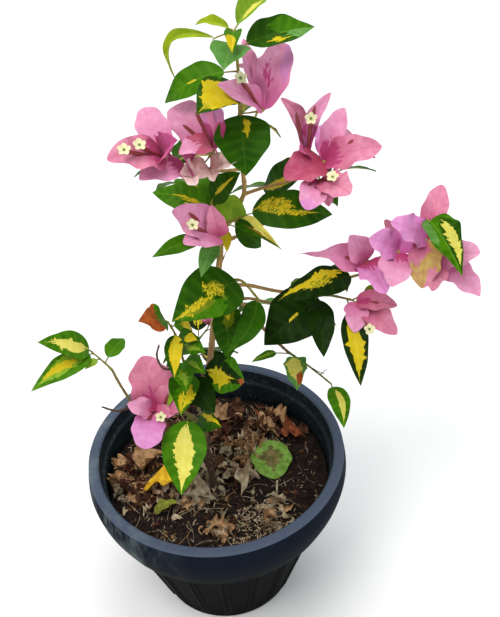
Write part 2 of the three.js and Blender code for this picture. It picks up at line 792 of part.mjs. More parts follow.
// Pairs of upright ribs down the pot's body, which draw together towards its foot.
function ribSolids() {
  const radiusAt = (z) => {
    const share = (z - 2) / (POT.bodyTop - 2);
    return POT.footRadius + (POT.bodyTopRadius - POT.footRadius) * share;
  };
  const ribs = [];
  for (let pair = 0; pair < RIBS.pairs; pair++)
    for (const hand of [-0.5, 0.5]) {
      const angle = (2 * Math.PI * pair) / RIBS.pairs - Math.PI / 2 + hand * RIBS.apart;
      const out = new THREE.Vector3(Math.cos(angle), Math.sin(angle), 0);
      const across = new THREE.Vector3(-out.y, out.x, 0);
      const corners = [];
      for (const z of [RIBS.foot, RIBS.top])
        for (const [r, w] of [[-RIBS.sunk, -1], [RIBS.proud, -0.5], [RIBS.proud, 0.5], [-RIBS.sunk, 1]]) {
          const corner = out.clone().multiplyScalar(radiusAt(z) + r);
          corners.push([...corner.addScaledVector(across, (w * RIBS.width) / 2).setZ(z).toArray()]);
        }
      const walls = [0, 1, 2, 3].flatMap((i) => {
        const j = (i + 1) % 4;
        return [[i, j, j + 4], [i, j + 4, i + 4]];
      });
      ribs.push(solidFrom(geometryFrom(corners, [[0, 2, 1], [0, 3, 2], [4, 5, 6], [4, 6, 7], ...walls])));
    }
  return ribs;
}

// The soil fills the pot to a level a little below its ledge, lower at the edge than in the middle.
function soilSolid() {
  const inner = POT.bodyTopRadius - POT.wall - CLEAR;
  const edge = POT.ledgeRadius - CLEAR - 1;
  return lathe([
    [0, POT.floor + CLEAR], [POT.footRadius - POT.wall - CLEAR - 0.5, POT.floor + CLEAR],
    [inner, POT.bodyTop], [edge, POT.bandFoot + 6], [edge, SOIL.edge],
    [edge - 14, SOIL.level], [0, SOIL.level],
  ], SOIL.sides);
}

// Dead leaves on the soil: blades that lie on it, their roots pressed in.
function litterSolids() {
  const light = new THREE.Vector3(0, 0, 1);
  return LITTER.map(([x, y, bearing, pitch, length, width]) => {
    const root = new THREE.Vector3(x, y, SOIL.level - LITTER_SINK);
    return blade(root, heading(bearing, pitch), length, width, light, LEAF);
  });
}

// ---- The plant ----

// Every limb's curve, its solid and the same solid grown by the clearance.
function growLimbs() {
  const limbs = new Map();
  for (const { name, on, at, radii, through } of LIMBS) {
    const parent = limbs.get(on);
    const foot = new THREE.Vector3(TRUNK_FOOT.x, TRUNK_FOOT.y, SOIL.level + CLEAR);
    const curve = curveThrough(parent ? parent.curve.getPointAt(at) : foot, through);
    const swell = ({ z }) =>
      parent ? 0 : TRUNK_FOOT.flare * Math.max(0, 1 - (z - foot.z) / TRUNK_FOOT.flareHeight) ** 2;
    let solid = limbSolid(curve, radii, LIMB_SIDES, 0, swell);
    if (parent) solid = largest(tidied(solid.subtract(parent.grown)));
    else solid = largest(solid.trimByPlane([0, 0, 1], foot.z));
    limbs.set(name, { curve, solid, grown: limbSolid(curve, radii, LIMB_SIDES, CLEAR, swell) });
  }
  return limbs;
}

// The leaf and bloom rows of a spray, set on its stem.
const setRows = ({ leaves, blooms }, stem) => ({
  leaves: leaves.map((row) => setLeaf(stem, row)),
  blooms: blooms.map((row) => setBloom(stem, row)),
});

// A spray: its stem, then each leaf and bloom that touches no limb and no earlier spray.
function growSpray(spray, limbs, taken, light) {
  const limb = limbs.get(spray.on);
  const stem = curveThrough(limb.curve.getPointAt(spray.at), spray.through);
  const { leaves, blooms } = spray.leaves ? setRows(spray, stem) : grownBy(spray, stem);
  const parts = [limbSolid(stem, spray.radii, TWIG_SIDES)];
  const offered = [
    ...leaves.map((set) => leaf(set, light)),
    ...blooms.map((set) => bloom(set, light)),
  ];
  parts.push(...offered.filter((part) => isEmpty(part.intersect(taken))));
  const others = [...limbs.values()].map(({ grown }) => grown);
  return largest(tidied(join(parts).subtract(join(others))));
}

// ---- The assembly ----

const material = (color, roughness) => new THREE.MeshStandardMaterial({ color, roughness, metalness: 0 });
const FINISH = {
  pot: material(COLOURS.pot, 0.45),
  soil: material(COLOURS.soil, 0.95),
  bark: material(COLOURS.bark, 0.8),
  leaf: material(COLOURS.leaf, 0.5),
  bloom: material(COLOURS.bloom, 0.7),
};

const plant = new THREE.Group();
plant.name = "potted_bougainvillea";
plant.add(meshFrom("pot", tidied(potSolid()), FINISH.pot));
plant.add(meshFrom("soil", tidied(join([soilSolid(), ...litterSolids()])), FINISH.soil));

const limbs = growLimbs();
for (const [name, { solid }] of limbs) plant.add(meshFrom(name, solid, FINISH.bark));

let taken = join([...limbs.values()].map(({ solid }) => solid));
for (const spray of [...SPRAYS, ...BACK_SPRAYS]) {
  const light = new THREE.Vector3(...(spray.leaves ? FRONT_LIGHT : BACK_LIGHT)).normalize();
  const solid = growSpray(spray, limbs, taken, light);
  taken = taken.add(solid);
  plant.add(meshFrom(spray.name, solid, FINISH[spray.finish]));
}

export default plant;
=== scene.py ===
"""A young bougainvillea with variegated leaves and papery bracts, in a round ribbed pot.

Lengths in the plan are millimetres, +Z is up and -Y is the plant's front. MM turns them to metres.
Every form is worked out as whole arrays: blades are grids of (along, across), limbs are rings
carried along a path, the pot and the soil are profiles turned about the upright axis.
"""

import math

import bpy
import numpy as np
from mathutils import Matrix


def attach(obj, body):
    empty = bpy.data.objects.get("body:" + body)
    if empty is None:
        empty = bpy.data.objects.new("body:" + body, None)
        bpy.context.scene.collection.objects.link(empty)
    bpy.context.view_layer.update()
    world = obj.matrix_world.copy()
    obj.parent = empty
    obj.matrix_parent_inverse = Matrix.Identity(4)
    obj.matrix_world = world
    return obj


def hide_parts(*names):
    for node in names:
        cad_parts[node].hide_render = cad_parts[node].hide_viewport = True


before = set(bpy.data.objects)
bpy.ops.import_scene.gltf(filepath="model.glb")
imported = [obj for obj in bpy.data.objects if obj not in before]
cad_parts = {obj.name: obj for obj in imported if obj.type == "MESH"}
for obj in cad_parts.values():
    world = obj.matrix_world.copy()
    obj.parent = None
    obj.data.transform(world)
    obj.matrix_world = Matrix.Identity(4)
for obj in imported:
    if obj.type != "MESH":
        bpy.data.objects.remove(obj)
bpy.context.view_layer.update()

MM = 0.001

# ---- The view ----

# The view looks along +Y, dipped below the level, with its frame tilted about the line of sight.
# Its focal length is in the frame's own units, and the frame is [across, down].
VIEW = {"place": np.array([42.7, -612.5, 856.0]), "dip": 38.88, "tilt": -3.66, "focal": 900,
        "frame": (500, 617)}
# The camera's sensor is in millimetres, and how far it sees is in metres.
SENSOR = 36
SEES_TO = 50


def view_axes():
    """The view's right, up and ahead. Ahead dips below the level, and the other two are turned
    about it by the tilt."""
    dip, tilt = math.radians(VIEW["dip"]), math.radians(VIEW["tilt"])
    ahead = np.array([0, math.cos(dip), -math.sin(dip)])
    level = np.array([1.0, 0, 0])
    upright = np.cross(level, ahead)
    return (level * math.cos(tilt) + upright * math.sin(tilt),
            upright * math.cos(tilt) - level * math.sin(tilt), ahead)


def stand(thing, right, up, back, place):
    """Puts a camera or a lamp into the scene at a place in metres, looking away from its back."""
    turn = np.eye(4)
    turn[:3] = np.stack([right, up, back, place], -1)
    thing.matrix_world = turn.T.tolist()
    bpy.context.scene.collection.objects.link(thing)


def set_camera():
    """The camera stands at the view's place. Its sensor spans the frame's longer side."""
    camera = bpy.data.objects.new("view", bpy.data.cameras.new("view"))
    camera.data.sensor_width = SENSOR
    camera.data.lens = VIEW["focal"] / max(VIEW["frame"]) * SENSOR
    camera.data.clip_end = SEES_TO
    right, up, ahead = view_axes()
    stand(camera, right, up, -ahead, VIEW["place"] * MM)
    bpy.context.scene.camera = camera


set_camera()

# ---- The plan of the plant ----
# A place is [across, down] in the view's frame. Where a stem passes or a bloom sits, a third
# number gives its y. A station is how far along its carrier a thing sits, from 0 to 1.
# A limb is [name, carrier, station, [foot radius, tip radius], places].
# A spray is a limb with its leaves and its blooms.
# A leaf is [look, station, stalk, place of its tip, length, width, side]: its tip is on the near
# or the far side of its root.
# A bloom is [look, station, place, bracts, flowers], a bract is [place of its tip, length, width,
# side], and a flower is [kind, place of its end, reach from the bloom's centre, side].
NEAR, FAR = -1, 1
CLOSED, OPEN = 1, 2

LIMBS = [
    ["trunk", None, 0, [3.6, 2.7],
     [[206, 440, -20], [207, 390, -14], [212, 340, -8], [218, 275, -2], [222, 229, 2]]],
    ["leader", "trunk", 1.0, [2.3, 1.5],
     [[236, 208, 4], [244, 193, 4], [243, 171, 3], [241, 140, 2], [240, 118, 1]]],
    ["bough_upper_left", "leader", 0.575, [1.7, 1.4], [[228, 171, -4], [214, 170, -8]]],
    ["bough_upper_right", "leader", 0.345, [1.6, 1.2], [[266, 187, 8], [287, 182, 12]]],
    ["bough_right", "trunk", 0.8, [2.0, 1.4], [[243, 285, 4], [284, 292, 10], [312, 285, 9]]],
    ["bough_lower_right", "trunk", 0.785, [2.0, 1.4], [[244, 305, 4], [266, 331, 14], [288, 352, 20]]],
    ["bough_lower_left", "trunk", 0.33, [1.8, 1.5],
     [[200, 421, -28], [184, 412, -38], [160, 409, -46], [134, 406, -50]]],
    ["bough_left_tip", "bough_lower_left", 1.0, [1.4, 1.2], [[119, 383, -47], [112, 370, -45]]],
    ["bough_inner", "trunk", 0.24, [1.6, 1.3], [[206, 430, -30], [196, 400, -40], [187, 376, -44]]],
    ["bough_front", "trunk", 0.2, [1.5, 1.3], [[204, 434, -34], [197, 425, -48]]],
    ["bough_back_right", "trunk", 0.955, [1.8, 1.4], [[262, 225, 30], [285, 208, 48]]],
    ["bough_back_left", "trunk", 0.975, [1.7, 1.4], [[205, 205, 30], [192, 188, 45]]],
    ["bough_back_middle", "trunk", 0.655, [1.8, 1.4], [[240, 300, 30], [272, 303, 48]]],
    ["bough_back_low", "trunk", 0.32, [1.6, 1.3], [[205, 385, 20], [198, 360, 40]]],
]
YOUNG_LIMBS = ["bough_left_tip", "bough_lower_left", "bough_inner", "bough_front"]
SPRAYS = [
    ["crown", "leader", 1.0, [1.8, 0.9], [[240, 108, 0], [238, 70, -3], [234, 30, -6]], [
        ["heart", 0.1, 6, [246, 175], 46, 42, NEAR],
        ["upper_patch", 0.4, 4, [197, 113], 50, 33, NEAR],
        ["upper_left", 0.55, 10, [161, 101], 54, 25, FAR],
        ["top_right", 0.78, 9, [315, 26], 54, 25, FAR],
        ["top_under", 0.86, 5, [224, 69], 33, 28, NEAR],
        ["top_arch", 1.0, 16, [175, 80], 48, 9, FAR],
        ["top_fold", 1.0, 4, [232, 53], 28, 12, NEAR],
        ["top_left", 1.0, 4, [195, 24], 26, 8, FAR],
        ["top_crest", 1.0, 5, [267, -2], 36, 16, FAR],
    ], [
        ["A", 0.05, [262, 110, -14],
         [[[286, 42], 56, 28, FAR], [[243, 38], 54, 12, FAR], [[219, 84], 44, 19, NEAR]],
         [[OPEN, [240, 79], 34, NEAR], [CLOSED, [245, 84], 34, NEAR], [CLOSED, [244, 46], 48, FAR]]],
    ]],
    ["spray_upper_left", "bough_upper_left", 1.0, [1.4, 0.9],
     [[200, 171, -12], [188, 171, -16], [166, 163, -26]], [
    ], [
        ["B", 0.3, [214, 150, -22],
         [[[172, 106], 48, 32, FAR], [[214, 102], 38, 18, FAR], [[180, 153], 40, 20, NEAR]],
         [[CLOSED, [183, 125], 30, NEAR], [CLOSED, [196, 112], 34, NEAR]]],
        ["C2", 0.55, [186, 168, -26],
         [[[140, 178], 44, 26, NEAR], [[180, 150], 28, 24, NEAR], [[196, 184], 24, 18, NEAR]],
         [[CLOSED, [158, 159], 22, NEAR]]],
        ["C1", 1.0, [165, 158, -34],
         [[[143, 107], 42, 25, FAR], [[108, 158], 48, 29, NEAR], [[176, 140], 28, 24, NEAR]],
         [[OPEN, [124, 151], 41, NEAR], [OPEN, [139, 146], 29, NEAR]]],
        ["P", 0.12, [210, 169, -20],
         [[[181, 174], 32, 18, NEAR], [[238, 160], 28, 16, NEAR], [[214, 180], 20, 14, NEAR]],
         []],
    ]],
    ["spray_upper_right", "bough_upper_right", 1.0, [1.5, 0.9], [[308, 174, 13], [322, 164, 12]], [
        ["right_back", 0.5, 4, [262, 188], 52, 33, FAR],
    ], [
        ["E1", 0.6, [306, 158, 2],
         [[[281, 97], 52, 13, FAR], [[331, 92], 54, 12, FAR], [[300, 150], 20, 14, NEAR]],
         [[CLOSED, [296, 113], 38, NEAR], [OPEN, [311, 119], 34, NEAR], [CLOSED, [315, 106], 44, NEAR]]],
        ["E2", 1.0, [324, 162, 0],
         [[[344, 107], 46, 19, FAR], [[381, 146], 48, 27, NEAR], [[285, 178], 40, 29, NEAR]],
         [[CLOSED, [353, 140], 30, NEAR], [CLOSED, [338, 128], 32, FAR]]],
        ["E3", 0.8, [320, 180, -14],
         [[[307, 209], 32, 22, NEAR], [[350, 193], 32, 24, NEAR], [[329, 206], 23, 14, NEAR]],
         [[OPEN, [333, 178], 18, NEAR], [CLOSED, [307, 186], 16, NEAR]]],
    ]],
    ["spray_fork_right", "trunk", 0.985, [1.4, 1.0], [[230, 223, -8], [240, 217, -14]], [
        ["fork_lime", 0.55, 3, [234, 195], 26, 26, NEAR],
        ["fork_drop", 0.4, 5, [227, 252], 18, 8, NEAR],
        ["fork_blade", 0.7, 6, [283, 250], 50, 14, NEAR],
        ["fork_under", 0.5, 6, [262, 247], 34, 22, FAR],
        ["right_big", 1.0, 10, [333, 214], 66, 34, FAR],
    ], []],
    ["spray_fork_left", "trunk", 0.94, [1.4, 1.0], [[220, 231, -8], [216, 216, -12], [211, 204, -14]], [
        ["fork_long", 0.9, 6, [152, 192], 46, 24, FAR],
        ["fork_back", 1.0, 4, [240, 172], 34, 22, NEAR],
    ], []],
    ["spray_middle_left", "trunk", 0.9, [1.4, 1.0], [[219, 243, -10], [212, 241, -20], [206, 238, -26]], [
        ["low_hang", 0.66, 5, [201, 277], 34, 15, NEAR],
        ["low_back", 0.25, 4, [202, 263], 28, 17, FAR],
        ["low_left", 0.6, 18, [152, 257], 40, 15, NEAR],
    ], [
        ["D", 1.0, [219, 237, -34],
         [[[173, 211], 46, 30, NEAR], [[184, 242], 38, 22, NEAR], [[212, 206], 30, 16, NEAR]],
         [[OPEN, [192, 226], 35, NEAR], [CLOSED, [189, 213], 36, NEAR], [CLOSED, [198, 223], 24, NEAR]]],
    ]],
    ["spray_right", "bough_right", 1.0, [1.6, 0.9],
     [[350, 277, 0], [382, 266, -8], [415, 252, -14], [440, 238, -16], [427, 219, -18]], [
        ["right_cap", 1.0, 4, [462, 269], 56, 27, NEAR],
        ["right_roof", 0.27, 4, [277, 301], 72, 27, NEAR],
    ], [
        ["F1", 0.34, [366, 262, -12],
         [[[297, 253], 58, 28, NEAR], [[386, 292], 44, 28, NEAR], [[350, 236], 30, 24, NEAR]],
         [[CLOSED, [345, 257], 20, NEAR]]],
        ["F2", 0.53, [398, 252, -22],
         [[[370, 238], 30, 26, NEAR], [[392, 286], 36, 28, NEAR], [[424, 218], 40, 26, FAR]],
         [[CLOSED, [392, 268], 18, NEAR]]],
        ["F3", 0.75, [426, 240, -24],
         [[[442, 184], 48, 21, FAR], [[392, 222], 38, 26, NEAR], [[422, 288], 40, 26, NEAR]],
         [[CLOSED, [404, 239], 22, NEAR]]],
        ["F4", 0.82, [440, 262, -28],
         [[[480, 295], 44, 23, NEAR], [[479, 252], 38, 24, NEAR], [[432, 290], 34, 18, NEAR]],
         [[CLOSED, [462, 268], 20, NEAR]]],
    ]],
    ["spray_right_hanging", "bough_right", 0.93, [1.4, 1.0],
     [[318, 294, -2], [334, 296, -10], [352, 300, -14]], [
        ["right_dark", 0.42, 5, [264, 345], 62, 47, NEAR],
        ["right_droop", 0.3, 8, [324, 357], 51, 24, NEAR],
        ["hang_leaf", 0.9, 14, [361, 386], 64, 22, NEAR],
        ["green_bud", 1.0, 12, [384, 289], 14, 9, NEAR],
    ], [
        ["G", 1.0, [356, 302, -18],
         [[[397, 305], 36, 18, NEAR], [[397, 334], 44, 22, NEAR], [[355, 332], 30, 20, NEAR]],
         [[CLOSED, [379, 303], 22, NEAR], [CLOSED, [378, 311], 22, NEAR], [OPEN, [369, 329], 31, NEAR]]],
    ]],
    ["spray_lower_right", "bough_lower_right", 1.0, [1.3, 0.9], [[310, 367, 18], [331, 384, 10]], [
        ["low_small", 0.05, 20, [246, 364], 28, 8, NEAR],
        ["low_pale", 0.14, 4, [297, 390], 44, 22, NEAR],
        ["low_end", 1.0, 5, [344, 428], 42, 20, NEAR],
    ], []],
    ["spray_centre", "trunk", 0.83, [1.5, 1.1], [[228, 281, -12], [242, 281, -19], [259, 300, -24]], [
        ["centre_top", 0.36, 5, [190, 302], 46, 31, NEAR],
        ["centre_big", 0.56, 6, [172, 321], 70, 47, NEAR],
        ["centre_tail", 0.32, 22, [228, 362], 46, 25, NEAR],
        ["centre_right", 1.0, 3, [228, 352], 54, 21, NEAR],
    ], []],
    ["spray_inner", "bough_inner", 1.0, [1.3, 0.9], [[177, 340, -46], [168, 322, -46]], [
        ["inner_fold", 0.05, 5, [181, 415], 42, 26, NEAR],
        ["inner_round", 0.1, 16, [246, 382], 40, 34, FAR],
        ["inner_low", 0.3, 6, [186, 392], 34, 20, NEAR],
        ["inner_mid", 0.55, 6, [205, 352], 34, 22, NEAR],
        ["inner_gold", 0.8, 4, [174, 378], 44, 15, NEAR],
        ["inner_red", 1.0, 5, [139, 321], 32, 24, NEAR],
        ["inner_new", 0.72, 4, [197, 340], 26, 14, NEAR],
        ["inner_side", 0.3, 5, [205, 373], 30, 19, NEAR],
        ["inner_behind", 0.02, 6, [215, 413], 36, 24, NEAR],
        ["inner_sliver", 0.08, 4, [166, 409], 30, 8, NEAR],
        ["inner_left", 0.92, 4, [193, 330], 28, 15, FAR],
    ], []],
    ["spray_front", "bough_front", 1.0, [1.3, 1.0], [[188, 416, -62]], [
        ["front_right", 0.3, 8, [221, 427], 36, 22, NEAR],
        ["front_big", 1.0, 5, [181, 495], 63, 38, NEAR],
    ], []],
    ["spray_lower_left", "bough_lower_left", 0.75, [1.2, 0.9], [[160, 411, -56]], [
    ], [
        ["H", 0.7, [162, 410, -59],
         [[[142, 356], 50, 38, FAR], [[182, 384], 34, 26, NEAR]],
         [[OPEN, [161, 418], 14, NEAR], [CLOSED, [168, 395], 22, NEAR]]],
        ["H2", 1.0, [154, 412, -60],
         [[[128, 404], 30, 18, NEAR], [[175, 413], 22, 13, NEAR], [[144, 448], 38, 28, NEAR]],
         [[CLOSED, [148, 419], 14, NEAR]]],
    ]],
    ["spray_far_left", "bough_left_tip", 1.0, [1.1, 0.8], [[106, 364, -42], [92, 352, -36]], [
        ["far_up", 0.35, 6, [124, 338], 30, 16, FAR],
        ["far_bud", 0.6, 4, [85, 369], 15, 7, NEAR],
        ["far_low", 0.9, 5, [33, 387], 60, 22, NEAR],
        ["far_top", 1.0, 4, [38, 342], 52, 24, NEAR],
    ], []],
]
# The sprays whose leaves make up the lower leaves.
LOWER_SPRAYS = ["spray_lower_right", "spray_centre", "spray_inner", "spray_front", "spray_lower_left",
                "spray_far_left", "spray_right_hanging"]
# A spray at the back is [name, carrier, station, radii, places, leaves, seed, short leaves, short
# bracts]. The last two give the share of their length that some of them have grown to.
BACK_SPRAYS = [
    ["spray_back_top", "leader", 0.8, [1.5, 0.9], [[250, 130, 28], [262, 100, 45]],
     4, 41, {0: 0.6, 2: 0.4}, {0: 0.6, 1: 0.5}],
    ["spray_back_right", "bough_back_right", 1.0, [1.4, 0.9], [[308, 190, 62], [332, 172, 72]],
     6, 6, {0: 0.75, 5: 0.55}, {1: 0.7}],
    ["spray_back_left", "bough_back_left", 1.0, [1.4, 0.9], [[178, 172, 58], [160, 158, 66]],
     6, 69, {0: 0.5, 3: 0.6}, {0: 0.7, 1: 0.75, 2: 0.75}],
    ["spray_back_middle", "bough_back_middle", 1.0, [1.4, 0.9], [[294, 312, 58], [312, 325, 60]],
     6, 109, {0: 0.45, 2: 0.5, 3: 0.75, 4: 0.5, 5: 0.4}, {0: 0.6, 1: 0.4, 2: 0.5}],
    ["spray_back_low", "bough_back_low", 1.0, [1.3, 0.9], [[196, 345, 55], [206, 330, 62]],
     6, 48, {1: 0.6}, {0: 0.6, 1: 0.4, 2: 0.6}],
    ["spray_back_far", "bough_right", 0.78, [1.4, 0.9],
     [[330, 276, 30], [368, 262, 44], [396, 250, 50]], 6, 72, {1: 0.5, 2: 0.35}, {0: 0.65}],
]
# A bare twig is [carrier, station, legs, radii], and a leg is [place of its end, length, side].
BARE_TWIGS = [
    ["bough_lower_left", 1.0, [[[118, 411], 16, NEAR], [[102, 407], 17, FAR]], [1.4, 0.8]],
    ["spray_inner", 0.2,
     [[[165, 369], 20, NEAR], [[157, 357], 14, FAR], [[159, 345], 13, NEAR]], [1.4, 0.8]],
    ["spray_lower_right", 0.55, [[[317, 371], 7, NEAR], [[325, 374], 9, NEAR]], [0.5, 0.25]],
    ["spray_lower_right", 0.75, [[[327, 369], 10, NEAR]], [0.5, 0.25]],
    ["spray_right", 0.13, [[[323, 271], 16, NEAR]], [0.9, 0.35]],
    ["trunk", 0.86, [[[228, 246], 12, NEAR], [[231, 240], 7, NEAR]], [0.7, 0.3]],
]

# ---- Looks of the leaves ----
# A look is (ground colour, form, patches). A patch is
# [colour, from, to, from, to, raggedness]: its span along the leaf (0 to 1) and across (-1 to 1).
# A form changes the blade: bow lifts its middle, fold raises its margins, curl drops its tip,
# bend carries its tip sideways, twist turns it along its length and wave ripples its margins.

LEAF_LOOKS = {
    "heart": ("deep", {"fold": 0.05, "curl": 0.05}, [["yellow", 0.04, 0.36, 0.02, 0.26, 0.2]]),
    "upper_patch": ("deep", {"fold": 0.05}, [["yellow", 0.16, 0.86, -0.85, 0.9, 0.4]]),
    "upper_left": ("leaf", {"bow": 0.12, "curl": 0.1}, [["yellow", 0.36, 0.52, -0.1, 0.04, 0.1]]),
    "top_right": ("deep", {"fold": 0.22, "bow": 0.05, "wave": 0.02}, [
        ["leaf", 0.3, 1.0, -0.1, 1.0, 0.12], ["soft", 0.5, 1.05, -1.1, 0.1, 0.2],
        ["yellow", 0.26, 0.44, -0.7, -0.3, 0.2]]),
    "top_under": ("soft", {"bow": 0.1}, []),
    "top_arch": ("lime", {"bow": 0.3, "fold": 0.5, "bend": -0.3}, []),
    "top_fold": ("leaf", {"fold": 0.4}, [["yellow", 0.3, 1.0, -1.0, 0.5, 0.1]]),
    "top_left": ("lime", {"fold": 0.5, "bow": 0.15}, []),
    "top_crest": ("fresh", {"fold": 0.6, "bow": 0.14}, [["cream", 0.1, 0.8, -0.5, 0.1, 0.1]]),
    "right_back": ("deep", {}, [["yellow", 0.05, 1.0, 0.0, 0.62, 0.12]]),
    "fork_lime": ("fresh", {"p": 0.5, "q": 0.62}, []),
    "fork_drop": ("yellow", {}, []),
    "fork_blade": ("deep", {"fold": 0.5, "tail": 0.5}, [
        ["cream", 0.05, 0.9, 0.25, 1.1, 0.2], ["rust", 0.2, 1.0, -0.02, 0.1, 0.05],
        ["rust", 0.4, 1.0, 0.5, 0.6, 0.05]]),
    "fork_under": ("deep", {}, []),
    "right_big": ("deep", {"bow": 0.09, "wave": 0.02}, [
        ["grain", 0.03, 0.45, -0.1, 0.7, 0.16], ["grain", 0.15, 0.8, -0.24, 0.08, 0.1]]),
    "fork_long": ("leaf", {}, [["yellow", 0.05, 0.42, 0.05, 0.16, 0.06],
                               ["yellow", 0.12, 0.6, -0.14, -0.02, 0.1],
                               ["yellow", 0.1, 0.35, 0.25, 0.36, 0.1]]),
    "fork_back": ("deep", {}, [["yellow", 0.15, 0.8, -0.12, 0.22, 0.12]]),
    "low_hang": ("soft", {"fold": 0.2}, []),
    "low_back": ("deep", {}, []),
    "low_left": ("leaf", {"bow": 0.12}, []),
    "right_cap": ("leaf", {"fold": 0.45, "curl": 0.15, "wave": 0.03}, [
        ["deep", 0.1, 1.0, 0.05, 1.1, 0.1], ["cream", 0.15, 0.9, 0.3, 0.75, 0.2],
        ["soft", 0.0, 0.5, -1.0, -0.2, 0.1]]),
    "right_dark": ("dark", {"bow": 0.05}, [["yellow", 0.35, 0.55, -0.05, 0.04, 0.03]]),
    "right_droop": ("dark", {}, []),
    "right_roof": ("dark", {"fold": 0.16}, [
        ["yellow", 0.04, 0.95, -0.72, -0.2, 0.35], ["grain", 0.25, 0.6, -0.4, 0.15, 0.25]]),
    "hang_leaf": ("dark", {"fold": 0.12}, [["yellow", 0.08, 0.88, -0.6, 0.5, 0.35]]),
    "green_bud": ("fresh", {"p": 0.5, "q": 0.55, "fold": 0.5}, []),
    "low_small": ("leaf", {"fold": 0.3}, [["fresh", 0.1, 0.9, -0.5, 0.0, 0.2]]),
    "low_pale": ("soft", {"fold": 0.2, "wave": 0.05, "crinkle": 0.4}, [
        ["cream", 0.0, 0.75, -0.7, 0.6, 0.2], ["rust", 0.5, 0.85, 0.1, 1.0, 0.15]]),
    "low_end": ("leaf", {"fold": 0.3, "bend": 0.05}, [["cream", 0.08, 0.85, -0.1, 0.5, 0.12]]),
    "centre_top": ("deep", {"bow": 0.12}, []),
    "centre_big": ("deep", {"bow": 0.08}, [
        ["leaf", 0.3, 1.0, -0.1, 1.1, 0.2], ["olive", 0.2, 0.45, -0.4, 0.3, 0.2],
        ["grain", 0.2, 0.48, -0.42, 0.22, 0.15], ["olive", 0.4, 1.0, -0.05, 0.5, 0.2],
        ["grain", 0.45, 0.98, -0.1, 0.5, 0.3]]),
    "centre_tail": ("deep", {}, [["olive", 0.0, 0.42, -0.35, 0.35, 0.2],
                                 ["yellow", 0.06, 0.3, -0.12, 0.14, 0.1]]),
    "centre_right": ("deep", {"fold": 0.15, "bend": 0.1}, []),
    "inner_fold": ("leaf", {"fold": 0.25}, [
        ["yellow", 0.25, 0.97, 0.1, 0.62, 0.5], ["yellow", 0.45, 1.0, -0.5, 0.0, 0.4],
        ["deep", 0.0, 0.5, -1.1, -0.3, 0.2]]),
    "inner_round": ("dark", {"bow": 0.1, "curl": 0.08}, [
        ["leaf", 0.3, 1.0, 0.5, 1.1, 0.1], ["leaf", 0.1, 0.9, -1.1, -0.5, 0.1],
        ["yellow", 0.05, 0.6, -0.42, 0.2, 0.35], ["rust", 0.8, 1.05, -1.1, 0.6, 0.12]]),
    "inner_low": ("leaf", {"fold": 0.2}, [["fresh", 0.1, 0.9, -0.3, 0.4, 0.4]]),
    "inner_mid": ("leaf", {"fold": 0.2}, [["fresh", 0.1, 0.9, -0.25, 0.2, 0.4]]),
    "inner_gold": ("deep", {"fold": 0.12}, [["yellow", -0.05, 1.05, -0.5, 1.2, 0.15]]),
    "inner_red": ("rust", {"wave": 0.08, "crinkle": 0.4}, [["leaf", -0.1, 0.36, -1.1, 1.1, 0.3]]),
    "inner_new": ("deep", {"fold": 0.2}, [["yellow", 0.45, 1.05, -1.1, 1.1, 0.2]]),
    "inner_side": ("leaf", {"fold": 0.15}, [["fresh", 0.2, 0.8, -0.2, 0.3, 0.2]]),
    "inner_behind": ("dark", {"fold": 0.1}, []),
    "inner_sliver": ("fresh", {"fold": 0.4}, []),
    "inner_left": ("leaf", {}, [["yellow", 0.3, 1.05, -0.5, 1.1, 0.3]]),
    "front_right": ("deep", {}, [["yellow", 0.15, 1.0, 0.3, 0.75, 0.25]]),
    "front_big": ("leaf", {"fold": 0.14}, [["cream", 0.04, 0.99, -0.4, 0.44, 0.2]]),
    "far_up": ("leaf", {"bow": 0.1}, []),
    "far_bud": ("fresh", {}, []),
    "far_low": ("leaf", {"curl": 0.12}, [
        ["fresh", 0.02, 0.9, -0.75, 0.5, 0.2], ["yellow", 0.2, 0.8, -0.5, 0.1, 0.3]]),
    "far_top": ("leaf", {"bow": 0.08}, [["cream", 0.05, 0.8, -0.45, 0.4, 0.4]]),
}
# The looks that the leaves at the back take in turn.
BACK_LOOKS = ["heart", "right_back", "upper_left", "hang_leaf", "right_big", "front_big", "top_under",
              "fork_back", "centre_big", "right_droop", "right_roof", "low_left"]

